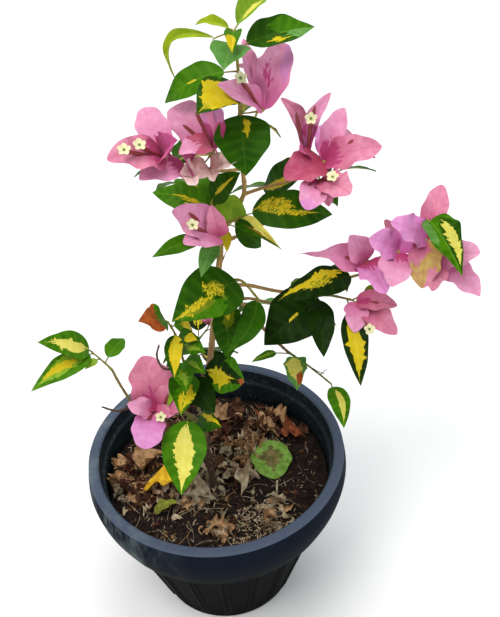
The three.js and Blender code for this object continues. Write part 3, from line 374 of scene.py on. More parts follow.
# A bloom's bracts: (colour, form, patches) for each, in the order of their rows. A deeper patch at a bract's
# foot, as MAGENTA_FOOT, is partly its own colour and partly painted shade where the bracts overlap.
MAGENTA_FOOT = [["deep", -0.1, 0.34, -0.8, 0.8, 0.3]]
BRACT_LOOKS = {
    "A": [("pink", {"fold": 0.3, "wave": 0.04}, [["lilac", 0.3, 1.1, -1.1, -0.35, 0.2],
                                                 ["deep", 0.25, 0.5, 0.1, 0.6, 0.4]]),
          ("pink", {"fold": 0.5}, []), ("pink", {"fold": 0.25}, [])],
    "P": [("faded", {"wave": 0.1}, []), ("faded", {"wave": 0.09, "fold": 0.3}, []),
          ("faded", {"wave": 0.1}, [])],
    "B": [("pink", {"q": 0.52}, []), ("lilac", {"fold": 0.4}, [["deep", 0, 0.45, -1.1, 1.1, 0.2]]),
          ("crimson", {"wave": 0.06, "bow": 0.16}, [["pink", 0.55, 1.05, -1.1, 1.1, 0.3]])],
    "C2": [("pink", {}, MAGENTA_FOOT), ("deep", {"fold": 0.3}, []), ("faded", {"wave": 0.1}, [])],
    "C1": [("pink", {"q": 0.55}, MAGENTA_FOOT), ("rose", {}, MAGENTA_FOOT), ("deep", {"fold": 0.3}, [])],
    "D": [("pink", {"wave": 0.05}, []), ("pink", {"wave": 0.05}, []), ("rose", {"fold": 0.3}, [])],
    "E1": [("rose", {"fold": 0.3, "bow": 0.2, "bend": -0.1}, [["lilac", -0.1, 0.35, -1.1, 1.1, 0.2]]),
           ("pink", {"fold": 0.4, "bow": 0.14, "bend": 0.09}, [["deep", -0.1, 0.4, -1.1, 1.1, 0.2]]),
           ("deep", {}, [])],
    "E2": [("pink", {"fold": 0.3}, MAGENTA_FOOT), ("rose", {"wave": 0.05}, MAGENTA_FOOT),
           ("crimson", {}, [])],
    "E3": [("pink", {"q": 0.5}, [["deep", -0.1, 0.3, -1.1, 1.1, 0.3], ["lilac", 0.7, 1.05, -1.1, 1.1, 0.3]]),
           ("rose", {"wave": 0.07, "q": 0.5}, []), ("rose", {}, [])],
    "F1": [("pink", {"tail": 1.6, "wave": 0.05}, []), ("lilac", {"wave": 0.06}, MAGENTA_FOOT),
           ("pink", {"wave": 0.06}, [])],
    "F2": [("lilac", {"wave": 0.07}, []), ("pink", {"wave": 0.06}, MAGENTA_FOOT),
           ("lilac", {"wave": 0.05}, [])],
    "F3": [("rose", {"fold": 0.25}, MAGENTA_FOOT), ("lilac", {"wave": 0.06}, []),
           ("gold", {"wave": 0.05}, [["rose", -0.1, 0.5, -1.1, 0.2, 0.3],
                                     ["rose", 0.5, 1.0, 0.3, 1.1, 0.2]])],
    "F4": [("pink", {"wave": 0.05}, []), ("pink", {"q": 0.5}, []), ("rose", {"wave": 0.06}, MAGENTA_FOOT)],
    "G": [("rose", {"fold": 0.35}, [["deep", 0.0, 0.4, -0.3, 0.3, 0.2]]),
          ("rose", {"fold": 0.2, "wave": 0.05}, []),
          ("pink", {"wave": 0.06}, [])],
    "H": [("rose", {"wave": 0.06, "crinkle": 0.6, "fold": 0.3}, MAGENTA_FOOT), ("rose", {"wave": 0.05}, [])],
    "H2": [("pink", {"wave": 0.06}, []), ("rose", {}, []),
           ("lilac", {"q": 0.42, "wave": 0.03}, [["pink", -0.1, 0.25, -1.1, 1.1, 0.3]])],
    "": [("pink", {"wave": 0.05}, MAGENTA_FOOT), ("rose", {"wave": 0.06}, []),
         ("lilac", {"wave": 0.05}, MAGENTA_FOOT)],
}

# ---- Sizes ----

# The pot's profile in rows of (radius, height), and how far its corners are eased.
POT_BODY = [(69, 0), (71, 2), (108, 123)]
POT_BAND = [(118, 129), (126, 148), (130, 167), (127, 184)]
POT_LIP = [(127.2, 182.6), (127.0, 185.0), (125.2, 186), (118.8, 186), (117, 184.4)]
POT_INSIDE = [(117, 184), (116, 171.4), (112.8, 169), (112.5, 134), (105, 123), (68, 4), (60, 4)]
POT_EASE = {"body": 1.2, "lip": 0.9, "inside": 2.5}
CORNER_CUTS = 2
# The wall has rows where the ribs begin and end, and the band has rows enough to bulge smoothly.
WALL_ROWS = (6, 8, 9, 10, 12, 40, 80, 112, 114, 116, 118, 120)
BAND_ROWS = 22
BAND_ROUNDS = 6
RIM_FROM = 183.6
# Ribs stand in pairs. What is given round the pot, as apart and hollow_from, is in degrees.
RIBS = {"pairs": 20, "apart": 3.2, "width": 2.6, "proud": 1.2, "foot": 8, "top": 118, "fade": 4,
        "hollow": 0.5, "hollow_from": 2.6}
RIB_STEPS = (0, 0.5, 0.9, 1.2, 1.45, 1.7, 1.95, 2.3, 2.8, 4, 6)
# The soil's top is level, and from a radius outwards it dips towards the wall.
SOIL = {"level": 149, "reach": 111, "dip": 3, "dips_from": 92, "rings": 100, "steps": 360}
SOIL_WALL = [(67, 4.3), (104, 122), (111, 135), (111, 141)]
TRUNK_FOOT = (-4, -22, 149.3)
TRUNK_FLARE = {"swell": 1.56, "height": 14}
# A limb's collar swells it by a share of its radius and fades over its reach.
COLLAR = {"swell": 0.35, "reach": 3.2}
# Each ring of a limb is this share of the plan's radius, as ridges and nodes stand out of it.
LIMB_SHARE = 0.9
# A blade's shape: its outline's powers p and q, then the form of its surface.
LEAF = {"p": 0.6, "q": 1.02, "bow": 0.07, "fold": 0.1, "curl": 0.02, "bend": 0.0, "twist": 0.0,
        "wave": 0.012, "beats": 2.1, "tail": 0.0, "slant": 0.12, "veins": 6, "relief": 0.045,
        "crinkle": 0.1, "thick": 0.5}
BRACT = {"p": 0.5, "q": 0.66, "bow": 0.1, "fold": 0.13, "curl": 0.04, "bend": 0.0, "twist": 0.0,
         "wave": 0.04, "beats": 2.1, "tail": 0.0, "slant": 0.16, "veins": 5, "relief": 0.3,
         "crinkle": 0.32, "thick": 0.4}
# A leaf's stalk is this many degrees steeper than its blade, up to the steepest.
STEEPER = 25
STEEPEST = 80
AIM_TURNS = 30
# A flower ends at a share of its bract's length, lifted off it by degrees.
FLOWER = {"closed": 0.5, "open": 0.58, "lift": 24, "star": 4.9}
# The tube's radius at shares of its length, up to its mouth.
TUBE = {"shares": [0, 0.3, 0.45, 0.75, 0.92, 1], "radii": [0.5, 0.9, 0.95, 1.5, 1.3],
        "mouth": {CLOSED: 0.5, OPEN: 1.1}}
# The way to the light on each side of the plant.
FRONT_LIGHT = (0, -0.55, 0.83)
BACK_LIGHT = (0, 0.5, 0.86)
UPWARD = (0, 0, 1)
# Grids of a blade: spaces along it and across it.
FINE_GRID = (44, 28)
LEAF_GRID = (26, 16)
BRACT_GRID = (28, 18)
SCRAP_GRID = (9, 6)


# ---- Directions, chance and curves ----


def unit(v):
    return np.asarray(v, float) / np.linalg.norm(v)


def heading(bearing, pitch):
    """The unit direction at a bearing about the upright axis and a pitch above the level."""
    b, p = math.radians(bearing), math.radians(pitch)
    return np.array([math.cos(p) * math.cos(b), math.cos(p) * math.sin(b), math.sin(p)])


def direction(step):
    """The bearing and the pitch of a step, in degrees."""
    pitch = math.asin(step[2] / np.linalg.norm(step))
    return (math.degrees(math.atan2(step[1], step[0])), math.degrees(pitch))


def sight(place):
    """The unit direction in which the view sees a place of its frame."""
    right, up, ahead = view_axes()
    across, down = VIEW["frame"]
    return unit(ahead * VIEW["focal"] + right * (place[0] - across / 2) + up * (down / 2 - place[1]))


def at_depth(place):
    """The point that shows at a place, at the depth y that is the place's third number."""
    way = sight(place)
    return VIEW["place"] + way * (place[2] - VIEW["place"][1]) / way[1]


def reached(root, place, length, side):
    """The point that shows at a place and is a length away from the root, on the near or the far
    side, or the nearest such point where the length falls short."""
    way = sight(place)
    gap = VIEW["place"] - root
    spare = math.sqrt(max(0, (way @ gap) ** 2 - gap @ gap + length**2))
    return VIEW["place"] + way * (side * spare - way @ gap)


def through(start, places):
    """A stem's points from its start through its places, each leg in whole degrees and
    millimetres."""
    points = [np.asarray(start, float)]
    for place in places:
        step = at_depth(place) - points[-1]
        points.append(points[-1] + heading(*np.round(direction(step))) * round(np.linalg.norm(step)))
    return points


def turned(v, axis, degrees):
    """v turned about a unit axis: the part across the axis swings, the part along it stays."""
    a = math.radians(degrees)
    return v * math.cos(a) + np.cross(axis, v) * math.sin(a) + axis * (axis @ v) * (1 - math.cos(a))


def seeded(seed):
    """A repeatable source of values from 0 to 1: each state is 9301 times the last plus 49297."""
    state = [seed * 7919 + 17]

    def draw():
        state[0] = (state[0] * 9301 + 49297) % 233280
        return state[0] / 233280

    return draw


class Path:
    """A smooth path through points: between two of them it is the cubic whose slope at each point
    is half the step from the one before to the one after, and a station is a share of its length."""

    FINE = 40

    def __init__(self, knots):
        knots = np.array(knots)
        self.end_bearing = round(direction(knots[-1] - knots[-2])[0])
        if len(knots) == 2:
            knots = np.array([knots[0], (knots[0] + knots[1]) / 2, knots[1]])
        ends = np.vstack([2 * knots[0] - knots[1], knots, 2 * knots[-1] - knots[-2]])
        t = np.linspace(0, 1, self.FINE, endpoint=False)[:, None]
        a, b, c, d = ends[:-3, None], ends[1:-2, None], ends[2:-1, None], ends[3:, None]
        m, n = (c - a) / 2, (d - b) / 2
        curve = (2 * b - 2 * c + m + n) * t**3 + (3 * c - 3 * b - 2 * m - n) * t**2 + m * t + b
        self.points = np.vstack([curve.reshape(-1, 3), knots[-1]])
        gaps = np.linalg.norm(np.diff(self.points, axis=0), axis=1)
        self.reach = np.concatenate([[0], np.cumsum(gaps)])
        self.length = self.reach[-1]

    def at(self, share):
        """The point or points at a share of the length."""
        s = np.asarray(share) * self.length
        return np.stack([np.interp(s, self.reach, self.points[:, k]) for k in range(3)], -1)


def ripple(points, size, seed, waves=5):
    """Smooth noise from -1 to 1: a mean of sines along seeded directions, about size apart."""
    rng = np.random.default_rng(seed)
    ways = rng.normal(size=(waves, 3))
    ways *= (2 * math.pi / size * rng.uniform(0.6, 1.6, (waves, 1))) / np.linalg.norm(ways, axis=1)[:, None]
    return np.sin(np.asarray(points) @ ways.T + rng.uniform(0, 2 * math.pi, waves)).mean(-1) * 1.6


# ---- Meshes ----


# The two values that a mesh keeps at each point: how much it is a vein, and how far along it lies.
MARKS = ("vein", "along")


class Pieces:
    """Parts of one kind, joined: points, triangles, a colour number for each triangle and the
    marks, which are two values for each point that the finishes read."""

    def __init__(self):
        self.points, self.faces, self.colours, self.marks, self.count = [], [], [], [], 0

    def add(self, points, faces, colours=0, marks=None):
        points = np.asarray(points, float).reshape(-1, 3)
        faces = np.asarray(faces, np.int64).reshape(-1, 3)
        self.points.append(points)
        self.faces.append(faces + self.count)
        self.colours.append(np.broadcast_to(colours, len(faces)))
        self.marks.append(np.zeros((len(points), 2)) if marks is None else marks)
        self.count += len(points)

    def make(self, name, materials, slot, nodes, crease=50):
        """One object of all the parts, its smooth shading broken where faces meet past the crease."""
        points = np.concatenate(self.points) * MM
        faces = np.concatenate(self.faces)
        mesh = bpy.data.meshes.new(name)
        mesh.vertices.add(len(points))
        mesh.vertices.foreach_set("co", points.ravel())
        mesh.loops.add(faces.size)
        mesh.loops.foreach_set("vertex_index", faces.ravel())
        mesh.polygons.add(len(faces))
        mesh.polygons.foreach_set("loop_start", np.arange(0, faces.size, 3))
        mesh.polygons.foreach_set("material_index", np.concatenate(self.colours).astype(np.int32))
        marks = np.concatenate(self.marks)
        for k, mark in enumerate(MARKS):
            layer = mesh.attributes.new(mark, "FLOAT", "POINT")
            layer.data.foreach_set("value", marks[:, k].astype(np.float32))
        for material in materials:
            mesh.materials.append(material)
        mesh.update(calc_edges=True)
        mesh.shade_smooth()
        mesh.set_sharp_from_angle(angle=math.radians(crease))
        piece = bpy.data.objects.new(name, mesh)
        bpy.context.scene.collection.objects.link(piece)
        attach(piece, "root")
        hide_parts(*nodes)
        return piece


def quads(a, b, c, d):
    """Two triangles for each corner set a, b, c, d, given as arrays of point numbers."""
    return np.concatenate([np.stack([a, b, c], -1).reshape(-1, 3), np.stack([a, c, d], -1).reshape(-1, 3)])


def grid_faces(numbers):
    """The faces of a grid of point numbers: rows run first, columns second, seen from their left."""
    return quads(numbers[:-1, :-1], numbers[1:, :-1], numbers[1:, 1:], numbers[:-1, 1:])


def around(steps):
    """Even angles about an axis."""
    return np.arange(steps) * 2 * math.pi / steps


def ring_faces(rows, sides):
    """The faces of rings of points, closed by a fan at each end. The fans' middles are the two
    points after the last ring."""
    numbers = np.arange(rows * sides).reshape(rows, sides)
    numbers = np.concatenate([numbers, numbers[:, :1]], 1)
    first, last = numbers[0], numbers[-1]
    fan = lambda middle, a, b: np.stack([np.full(sides, middle), a, b], -1)
    return np.concatenate([grid_faces(numbers)[:, [0, 2, 1]],
                           fan(rows * sides, first[1:], first[:-1]),
                           fan(rows * sides + 1, last[:-1], last[1:])])


def tube(path, radii, sides, relief=None):
    """Rings square to a path, closed by a point at each end. relief is a factor on the radius,
    one value for each (ring, side)."""
    path = np.asarray(path, float)
    radii = np.broadcast_to(radii, len(path))
    along = np.gradient(path, axis=0)
    along /= np.linalg.norm(along, axis=1)[:, None]
    guide = np.eye(3)[np.argmin(np.abs(along).max(0))]
    across = guide - along * (along @ guide)[:, None]
    across /= np.linalg.norm(across, axis=1)[:, None]
    up = np.cross(along, across)
    angle = around(sides)
    spread = radii[:, None] * (1 if relief is None else relief)
    ring = across[:, None] * np.cos(angle)[None, :, None] + up[:, None] * np.sin(angle)[None, :, None]
    points = path[:, None] + ring * (spread * np.ones((len(path), sides)))[..., None]
    return np.concatenate([points.reshape(-1, 3), path[:1], path[-1:]]), ring_faces(len(path), sides)


def turned_profile(profile, angle, push=0):
    """A profile of (radius, height) rows set at each angle about the upright axis, its first and
    last rows closed by a point on the axis. push is added to the radius for each (row, angle)."""
    r, z = np.asarray(profile, float).T
    radius = r[:, None] + push
    points = np.stack([radius * np.cos(angle), radius * np.sin(angle),
                       np.broadcast_to(z[:, None], (len(r), len(angle)))], -1)
    axis = [[0, 0, z[0]], [0, 0, z[-1]]]
    return np.concatenate([points.reshape(-1, 3), axis]), ring_faces(len(r), len(angle))


def sheet_numbers(rows, columns):
    """Point numbers of a closed blade: an upper sheet, and an under sheet sharing its border."""
    upper = np.arange((rows + 1) * (columns + 1)).reshape(rows + 1, columns + 1)
    under = upper.copy()
    inner = np.arange((rows - 1) * (columns - 1)).reshape(rows - 1, columns - 1)
    under[1:-1, 1:-1] = inner + upper.size
    return upper, under


def blade_axes(axis, light, roll):
    """The blade's side and face: it turns its face to the light as far as its axis lets it."""
    light = unit(light)
    face = unit(light - axis * (light @ axis))
    side = np.cross(face, axis)
    return turned(side, axis, -roll), turned(face, axis, -roll)


def blade(root, axis, length, width, light, roll, shape, form, grid, seed):
    """A leaf or bract as a closed thin shell on a grid.

    Its half width at t along it is t^p (1 - t)^q over that product's greatest value, times half
    the width. The grid's cross lines slant towards the tip as side veins do. It lifts by the bow as
    4 bow t (1 - t), by the fold with the distance from the midrib, and by sine ripples that grow
    to the margins, drops by curl t^3 at the tip, is crinkled by two crossing sines, and sinks a
    little along its veins.
    Returns points, upper faces, under faces, the (along, across) centres of either, and marks."""
    f = {**shape, **form}
    rng = np.random.default_rng(seed)
    rows, columns = grid
    s = np.linspace(0, 1, rows + 1)
    s = 0.5 * s + 0.25 * (1 - np.cos(math.pi * s))
    t0, v = np.meshgrid(0.004 + 0.994 * s, np.linspace(-1, 1, columns + 1), indexing="ij")
    reach = t0 + f["slant"] * np.sin(math.pi * t0)
    t = t0 + (reach - t0) * np.abs(v)
    p, q = f["p"], f["q"] + f["tail"]
    best = p / (p + q)
    outline = lambda x: x**p * (1 - x) ** q / (best**p * (1 - best) ** q)
    margin = width / 2 * outline(np.clip(reach, 0, 0.9985))
    margin = margin * (1 + f["wave"] * 1.5 * np.sin(17 * reach + 5 * np.sign(v) + rng.uniform(0, 6)))
    y = v * margin + f["bend"] * length * 4 * t * (1 - t)
    crease = 0.12 * margin
    beat = f["veins"] + 1
    row = t0 * beat
    lateral = np.exp(-(((row - np.round(row)) / 0.16) ** 2)) * (np.abs(v) < 0.93) * (t0 > 0.05)
    mid = np.exp(-((v * margin / 0.7) ** 2))
    vein = np.maximum(mid, 0.7 * lateral)
    ripples = np.sin(2 * math.pi * (f["beats"] * t + rng.uniform(0, 1) + 0.31 * np.sign(v)))
    puff = f["relief"] * (1 - vein) * (1 - v**2)
    z = (4 * f["bow"] * length * t * (1 - t)
         + 2 * f["fold"] * (np.sqrt((v * margin) ** 2 + crease**2) - crease)
         - f["curl"] * length * t**3
         + f["wave"] * length * np.abs(v) ** 2.5 * ripples * np.sin(math.pi * t) ** 0.5
         + f["crinkle"] * np.sin(length * t / 1.9 + 2 * np.sin(y / 2.3) + rng.uniform(0, 6))
         * np.sin(y / 1.7 + rng.uniform(0, 6)) * np.sin(math.pi * t)
         + puff)
    turn = np.radians(f["twist"]) * (t - 0.3)
    y, z = y * np.cos(turn) - z * np.sin(turn), y * np.sin(turn) + z * np.cos(turn)
    side, face = blade_axes(axis, light, roll)
    place = lambda lift: (root + axis * (length * t)[..., None] + side * y[..., None]
                          + face * (z + lift)[..., None])
    upper, under = sheet_numbers(rows, columns)
    depth = f["thick"] * np.sqrt(np.clip(1 - v**2, 0, 1)) + 0.35 * mid
    points = np.concatenate([place(0).reshape(-1, 3), place(-depth)[1:-1, 1:-1].reshape(-1, 3)])
    marks = np.stack([vein, t], -1)
    marks = np.concatenate([marks.reshape(-1, 2), marks[1:-1, 1:-1].reshape(-1, 2)])
    centre = lambda a: np.concatenate([(a[:-1, :-1] + a[1:, :-1] + a[1:, 1:]).ravel(),
                                       (a[:-1, :-1] + a[1:, 1:] + a[:-1, 1:]).ravel()]) / 3
    spot = np.stack([centre(t0), centre(v)], -1)
    return points, grid_faces(upper), grid_faces(under)[:, [0, 2, 1]], spot, marks


# ---- Colours on a blade ----

# Ground, drift, root and vein tones of each colour, from 0 to 255.
LEAF_TONES = {
    "leaf": ((64, 118, 4), (46, 96, 0), (62, 114, 6), (116, 160, 40)),
    "deep": ((40, 84, 0), (28, 66, 0), (36, 76, 2), (82, 124, 28)),
    # dark is a darker copy of the greens for leaves that sit in shade: painted shade.
    "dark": ((20, 46, 0), (13, 33, 0), (16, 40, 0), (50, 84, 18)),
    "soft": ((92, 142, 66), (72, 124, 46), (80, 132, 52), (142, 178, 108)),
    "fresh": ((132, 164, 40), (106, 146, 26), (120, 156, 40), (176, 196, 84)),
    "lime": ((172, 186, 32), (142, 168, 22), (136, 160, 26), (200, 206, 84)),
    "yellow": ((208, 184, 28), (190, 168, 16), (198, 178, 30), (222, 202, 74)),
    "cream": ((222, 212, 102), (206, 196, 76), (214, 206, 92), (232, 224, 136)),
    "olive": ((112, 126, 22), (88, 104, 14), (104, 118, 18), (146, 152, 46)),
    "rust": ((168, 86, 38), (128, 54, 18), (140, 66, 26), (188, 118, 64)),
    "under": ((84, 122, 52), (70, 106, 38), (80, 118, 50), (142, 168, 98)),
}
# A bract's root tone is deeper than its ground: partly its own colour, partly painted shade where the bracts
# overlap at the bloom's centre.
BRACT_TONES = {
    "pink": ((220, 154, 186), (212, 138, 170), (200, 98, 148), (206, 120, 158)),
    "rose": ((212, 136, 160), (202, 120, 148), (186, 76, 116), (190, 92, 126)),
    "lilac": ((212, 144, 192), (204, 130, 184), (190, 90, 156), (196, 112, 166)),
    "deep": ((196, 88, 144), (182, 72, 126), (164, 50, 96), (172, 60, 104)),
    "crimson": ((192, 92, 120), (178, 72, 100), (152, 42, 70), (162, 54, 82)),
    "faded": ((242, 216, 208), (234, 198, 192), (226, 186, 176), (212, 156, 150)),
    "gold": ((196, 170, 92), (186, 140, 96), (176, 136, 70), (160, 116, 60)),
}
FLOWER_TONES = {
    "tube": ((132, 38, 54), (104, 30, 40), (136, 60, 60), (136, 60, 60)),
    "star": ((232, 226, 198), (216, 208, 168), (226, 220, 176), (226, 220, 176)),
    "eye": ((110, 130, 50), (90, 104, 36), (100, 120, 44), (100, 120, 44)),
}
LEAF_COLOURS = list(LEAF_TONES)
BRACT_COLOURS = list(BRACT_TONES)
# The colours before this one are greens, and a green leaf is paler underneath.
FIRST_PALE = LEAF_COLOURS.index("lime")
# Low and high tones of a bark, the heights in metres between which it changes, the tone of its
# flecks and its roughness.
BARK_TONES = {
    "old": ((66, 46, 36), (184, 146, 84), (0.22, 0.46), (148, 128, 98), 0.72),
    "young": ((92, 96, 44), (132, 112, 60), (0.2, 0.42), (130, 90, 52), 0.6),
    "dead": ((58, 40, 32), (78, 54, 40), (0.2, 0.4), (96, 74, 58), 0.8),
}
GREEN_BARK = ((92, 106, 40), (150, 140, 60), (0.25, 0.5), (140, 96, 50), 0.6)
BARKS = list(BARK_TONES)


def patched(spot, ground, patches, seed, palette, veins=11):
    """The colour number of each face: the ground, then each patch over the ones before. At every
    side vein a patch's edges jump out by up to its raggedness and fall back before the next, so
    that it is feathered, and it narrows to its two ends. A grain patch is yellow and olive grains
    that thin out at its edges."""
    rng = np.random.default_rng(seed)
    t, v = spot.T
    colour = np.full(len(t), palette.index(ground))
    row = np.clip(t, 0, 1) * veins
    step = row.astype(int) + 40 * (v > 0)
    back = (1 - row % 1) ** 1.2
    for name, low, high, left, right, ragged in patches:
        jump = rng.uniform(-0.35, 1, (4, 80)) * ragged
        sway = 0.35 * ragged * np.sin(7 * t + rng.uniform(0, 6))
        span = np.clip((t - low) / (high - low), 0, 1)
        full = 1 - 0.8 * np.abs(2 * span - 1) ** 2.4
        middle = (left + right) / 2 + sway
        half = (right - left) / 2 * full
        ends = 0.3 * ragged * np.sin(23 * v + rng.uniform(0, 6))
        inside = (t > low + ends) & (t < high + ends)
        inside &= (v > middle - half - jump[2, step] * back * full)
        inside &= (v < middle + half + jump[3, step] * back * full)
        if name == "grain":
            kind = rng.uniform(size=len(t))
            edge = np.minimum(np.abs(v - middle + half), np.abs(v - middle - half)) / (half + 0.01)
            inside &= kind < 0.55 + 0.8 * edge
            colour[inside] = palette.index("yellow")
            colour[inside & (kind < 0.3)] = palette.index("olive")
        else:
            colour[inside] = palette.index(name)
    return colour


# ---- Growing the plant ----

# A span is its lowest value and how much chance adds to it. Angles are in degrees.
BACK_RULE = {"turn": 137.5, "stalk": (6, 6), "pitch": (-35, 45), "length": (42, 20),
             "shape": (0.5, 0.15), "swing": (-30, 60), "rise": (30, 30), "spin": (0, 360),
             "open": (45, 15), "bract": (44, 8), "bract_shape": 0.64, "bracts": 3,
             "bloom_pitch": 50, "bloom_stalk": 6}
# Seeds: the limbs' first, and the number that the sprays' leaves and bracts are counted from.
LIMB_SEED = 31
GROWTH_SEED = 100
THORNY = {"share": 0.3, "from": 0.1, "to": 0.95, "aside": 25, "up": 45, "length": (4, 8), "hook": 0.35}


def stalk_end(start, stalk, axis):
    """Where a leaf's stalk ends: it leaves the stem more steeply than the blade lies."""
    bearing, pitch = direction(axis)
    return start + heading(bearing, min(STEEPEST, pitch + STEEPER)) * stalk


def set_leaf(stem, look, station, stalk, tip, length, width, side):
    """A leaf of the plan on its stem. The stalk's end and the blade's direction depend on each
    other, so they are worked out in turn until they agree."""
    start = root = stem.at(station)
    for _ in range(AIM_TURNS):
        axis = unit(reached(root, tip, length, side) - root)
        root = stalk_end(start, stalk, axis)
    return look, station, start, root, axis, length, width


def set_bloom(stem, look, station, place, bracts, flowers):
    """A bloom of the plan on its stem: its centre, its bracts' directions and its flowers' ends."""
    centre = at_depth(place)
    toward = lambda tip, length, side: unit(reached(centre, tip, length, side) - centre)
    petals = [(toward(tip, length, side), length, width) for tip, length, width, side in bracts]
    ends = [(kind, centre + toward(end, reach, side) * reach) for kind, end, reach, side in flowers]
    return look, stem.at(station), centre, petals, ends


def grown_leaves(stem, between, leaf_count, seed, short_leaves):
    """The leaves of a spray at the back: they turn round the stem by a fixed angle."""
    leaves = []
    for i in range(leaf_count):
        stalk, pitch, length = (between(k) for k in ("stalk", "pitch", "length"))
        width = length * between("shape")
        look = BACK_LOOKS[(seed + 5 * i) % len(BACK_LOOKS)]
        station, grown = (i + 0.7) / leaf_count, short_leaves.get(i, 1)
        start = stem.at(station)
        axis = heading(stem.end_bearing + BACK_RULE["turn"] * i, pitch)
        foot = stalk_end(start, stalk, axis)
        leaves.append((look, station, start, foot, axis, length * grown, width * grown))
    return leaves


def grown_bloom(stem, between, short_bracts):
    """The bloom at the end of a spray at the back: its bracts are spread evenly round one axis,
    and all but the first carry a flower, the first of these closed and the next open."""
    axis = heading(stem.end_bearing + between("swing"), between("rise"))
    spin, wide = between("spin"), math.radians(between("open"))
    across = unit(np.cross(axis, UPWARD))
    centre = stem.at(1) + heading(stem.end_bearing, BACK_RULE["bloom_pitch"]) * BACK_RULE["bloom_stalk"]
    lift = math.radians(FLOWER["lift"])
    petals, ends = [], []
    for k in range(BACK_RULE["bracts"]):
        turn = spin + 360 / BACK_RULE["bracts"] * k
        way = axis * math.cos(wide) + turned(across, axis, turn) * math.sin(wide)
        length = between("bract") * short_bracts.get(k, 1)
        petals.append((way, length, length * BACK_RULE["bract_shape"]))
        if k:
            face = blade_axes(way, BACK_LIGHT, 0)[1]
            share = FLOWER["open" if k == OPEN else "closed"]
            ends.append((k, centre + (way * math.cos(lift) + face * math.sin(lift)) * length * share))
    return "", stem.at(1), centre, petals, ends


def grown_rows(stem, leaf_count, seed, short_leaves, short_bracts):
    """The leaves and the bloom of a spray at the back."""
    draw = seeded(seed)

    def between(name):
        low, more = BACK_RULE[name]
        return low + more * draw()

    leaves = grown_leaves(stem, between, leaf_count, seed, short_leaves)
    return leaves, [grown_bloom(stem, between, short_bracts)]


def bark_relief(path, share, sides, seed, node_gap, rough):
    """A factor on a limb's radius for each (ring, side): lengthwise ridges that wander, small
    cracks, and a swollen ring with a scar at every node."""
    angle = around(sides)
    rng = np.random.default_rng(seed)
    far = share * path.length
    drift = 0.5 * np.sin(far / 17 + rng.uniform(0, 6))
    broad = np.sin(3 * (angle[None, :] + drift[:, None]))
    ridges = broad + 0.6 * np.sin(5 * angle[None, :] - 2 * drift[:, None])
    ring = np.stack([np.cos(angle) * 3, np.sin(angle) * 3], -1)
    spots = np.concatenate([np.broadcast_to(ring[None], (len(far), sides, 2)),
                            np.broadcast_to(far[:, None, None], (len(far), sides, 1))], -1)
    cracks = ripple(spots.reshape(-1, 3) * [1, 1, 0.35], 2.2, seed + 1).reshape(len(far), sides)
    places = np.arange(node_gap * 0.6, path.length, node_gap)
    places = places + rng.uniform(-0.2, 0.2, len(places)) * node_gap
    turns = rng.uniform(0, 2 * math.pi, len(places))
    swell = np.zeros((len(far), sides))
    for place, turn in zip(places, turns):
        near = np.exp(-(((far - place) / 1.3) ** 2))
        swell += near[:, None] * (0.13 + 0.22 * np.clip(np.cos(angle - turn), 0, 1)[None, :] ** 2)
    return 1 + rough * (0.5 * ridges + cracks) + swell


def add_limb(pieces, path, radii, sides, seed, node_gap=19, rough=0.07, flare=None, pitch=1.5, bark=0):
    """A limb: rings along its path, tapering evenly from foot to tip, with the bark's relief, a
    collar where it leaves its carrier and the trunk's flare at the soil."""
    share = np.linspace(0, 1, max(6, int(path.length / pitch)))
    centre = path.at(share)
    radius = LIMB_SHARE * (radii[0] + (radii[1] - radii[0]) * share)
    if flare:
        rise = (centre[:, 2] - centre[0, 2]) / flare["height"]
        radius = radius + flare["swell"] * np.clip(1 - rise, 0, 1) ** 2
    else:
        radius = radius * (1 + COLLAR["swell"] * np.exp(-(share * path.length / COLLAR["reach"]) ** 2))
    relief = bark_relief(path, share, sides, seed, node_gap, rough)
    pieces.add(*tube(centre, radius, sides, relief), bark)


def add_stalk(pieces, path, shares, radii):
    """A smooth stalk whose radius is given at shares of its length."""
    pieces.add(*tube(path, np.interp(np.linspace(0, 1, len(path)), shares, radii), 8))


def arc(start, middle, end, steps):
    """A path that leaves the start towards the middle point and comes in from it to the end."""
    t = np.linspace(0, 1, steps)[:, None]
    return (1 - t) ** 2 * start + 2 * t * (1 - t) * middle + t**2 * end


def star_parts():
    """The open flower's rim: a shallow cup whose radius has five lobes, R (0.7 + 0.3 |cos 2.5a|),
    given as points about the origin, its faces and their colours (2 is the green eye)."""
    profile = [(0.12, -2.2), (0.34, -1.0), (0.66, -0.35), (0.9, 0.15), (1.0, 0.5), (0.9, 0.55), (0.66, 0.1),
               (0.36, -0.25), (0.2, -0.1)]
    angle = around(30)
    lobe = 0.7 + 0.3 * np.abs(np.cos(2.5 * angle))
    r, z = np.array(profile).T
    star = FLOWER["star"]
    push = star * r[:, None] * (lobe[None, :] - 1) * (r[:, None] > 0.4)
    points, faces = turned_profile(np.stack([r * star, z * 1.4], -1), angle, push)
    reach = np.hypot(points[:, 0], points[:, 1])
    points[:, 2] += 0.5 * np.sin(10 * np.arctan2(points[:, 1], points[:, 0])) * (reach / star) ** 2
    middle = points[faces].mean(1)
    eye = (np.hypot(middle[:, 0], middle[:, 1]) < 0.27 * star) & (middle[:, 2] > -0.8)
    return points, faces, np.where(eye, 2, 1)


STAR = star_parts()


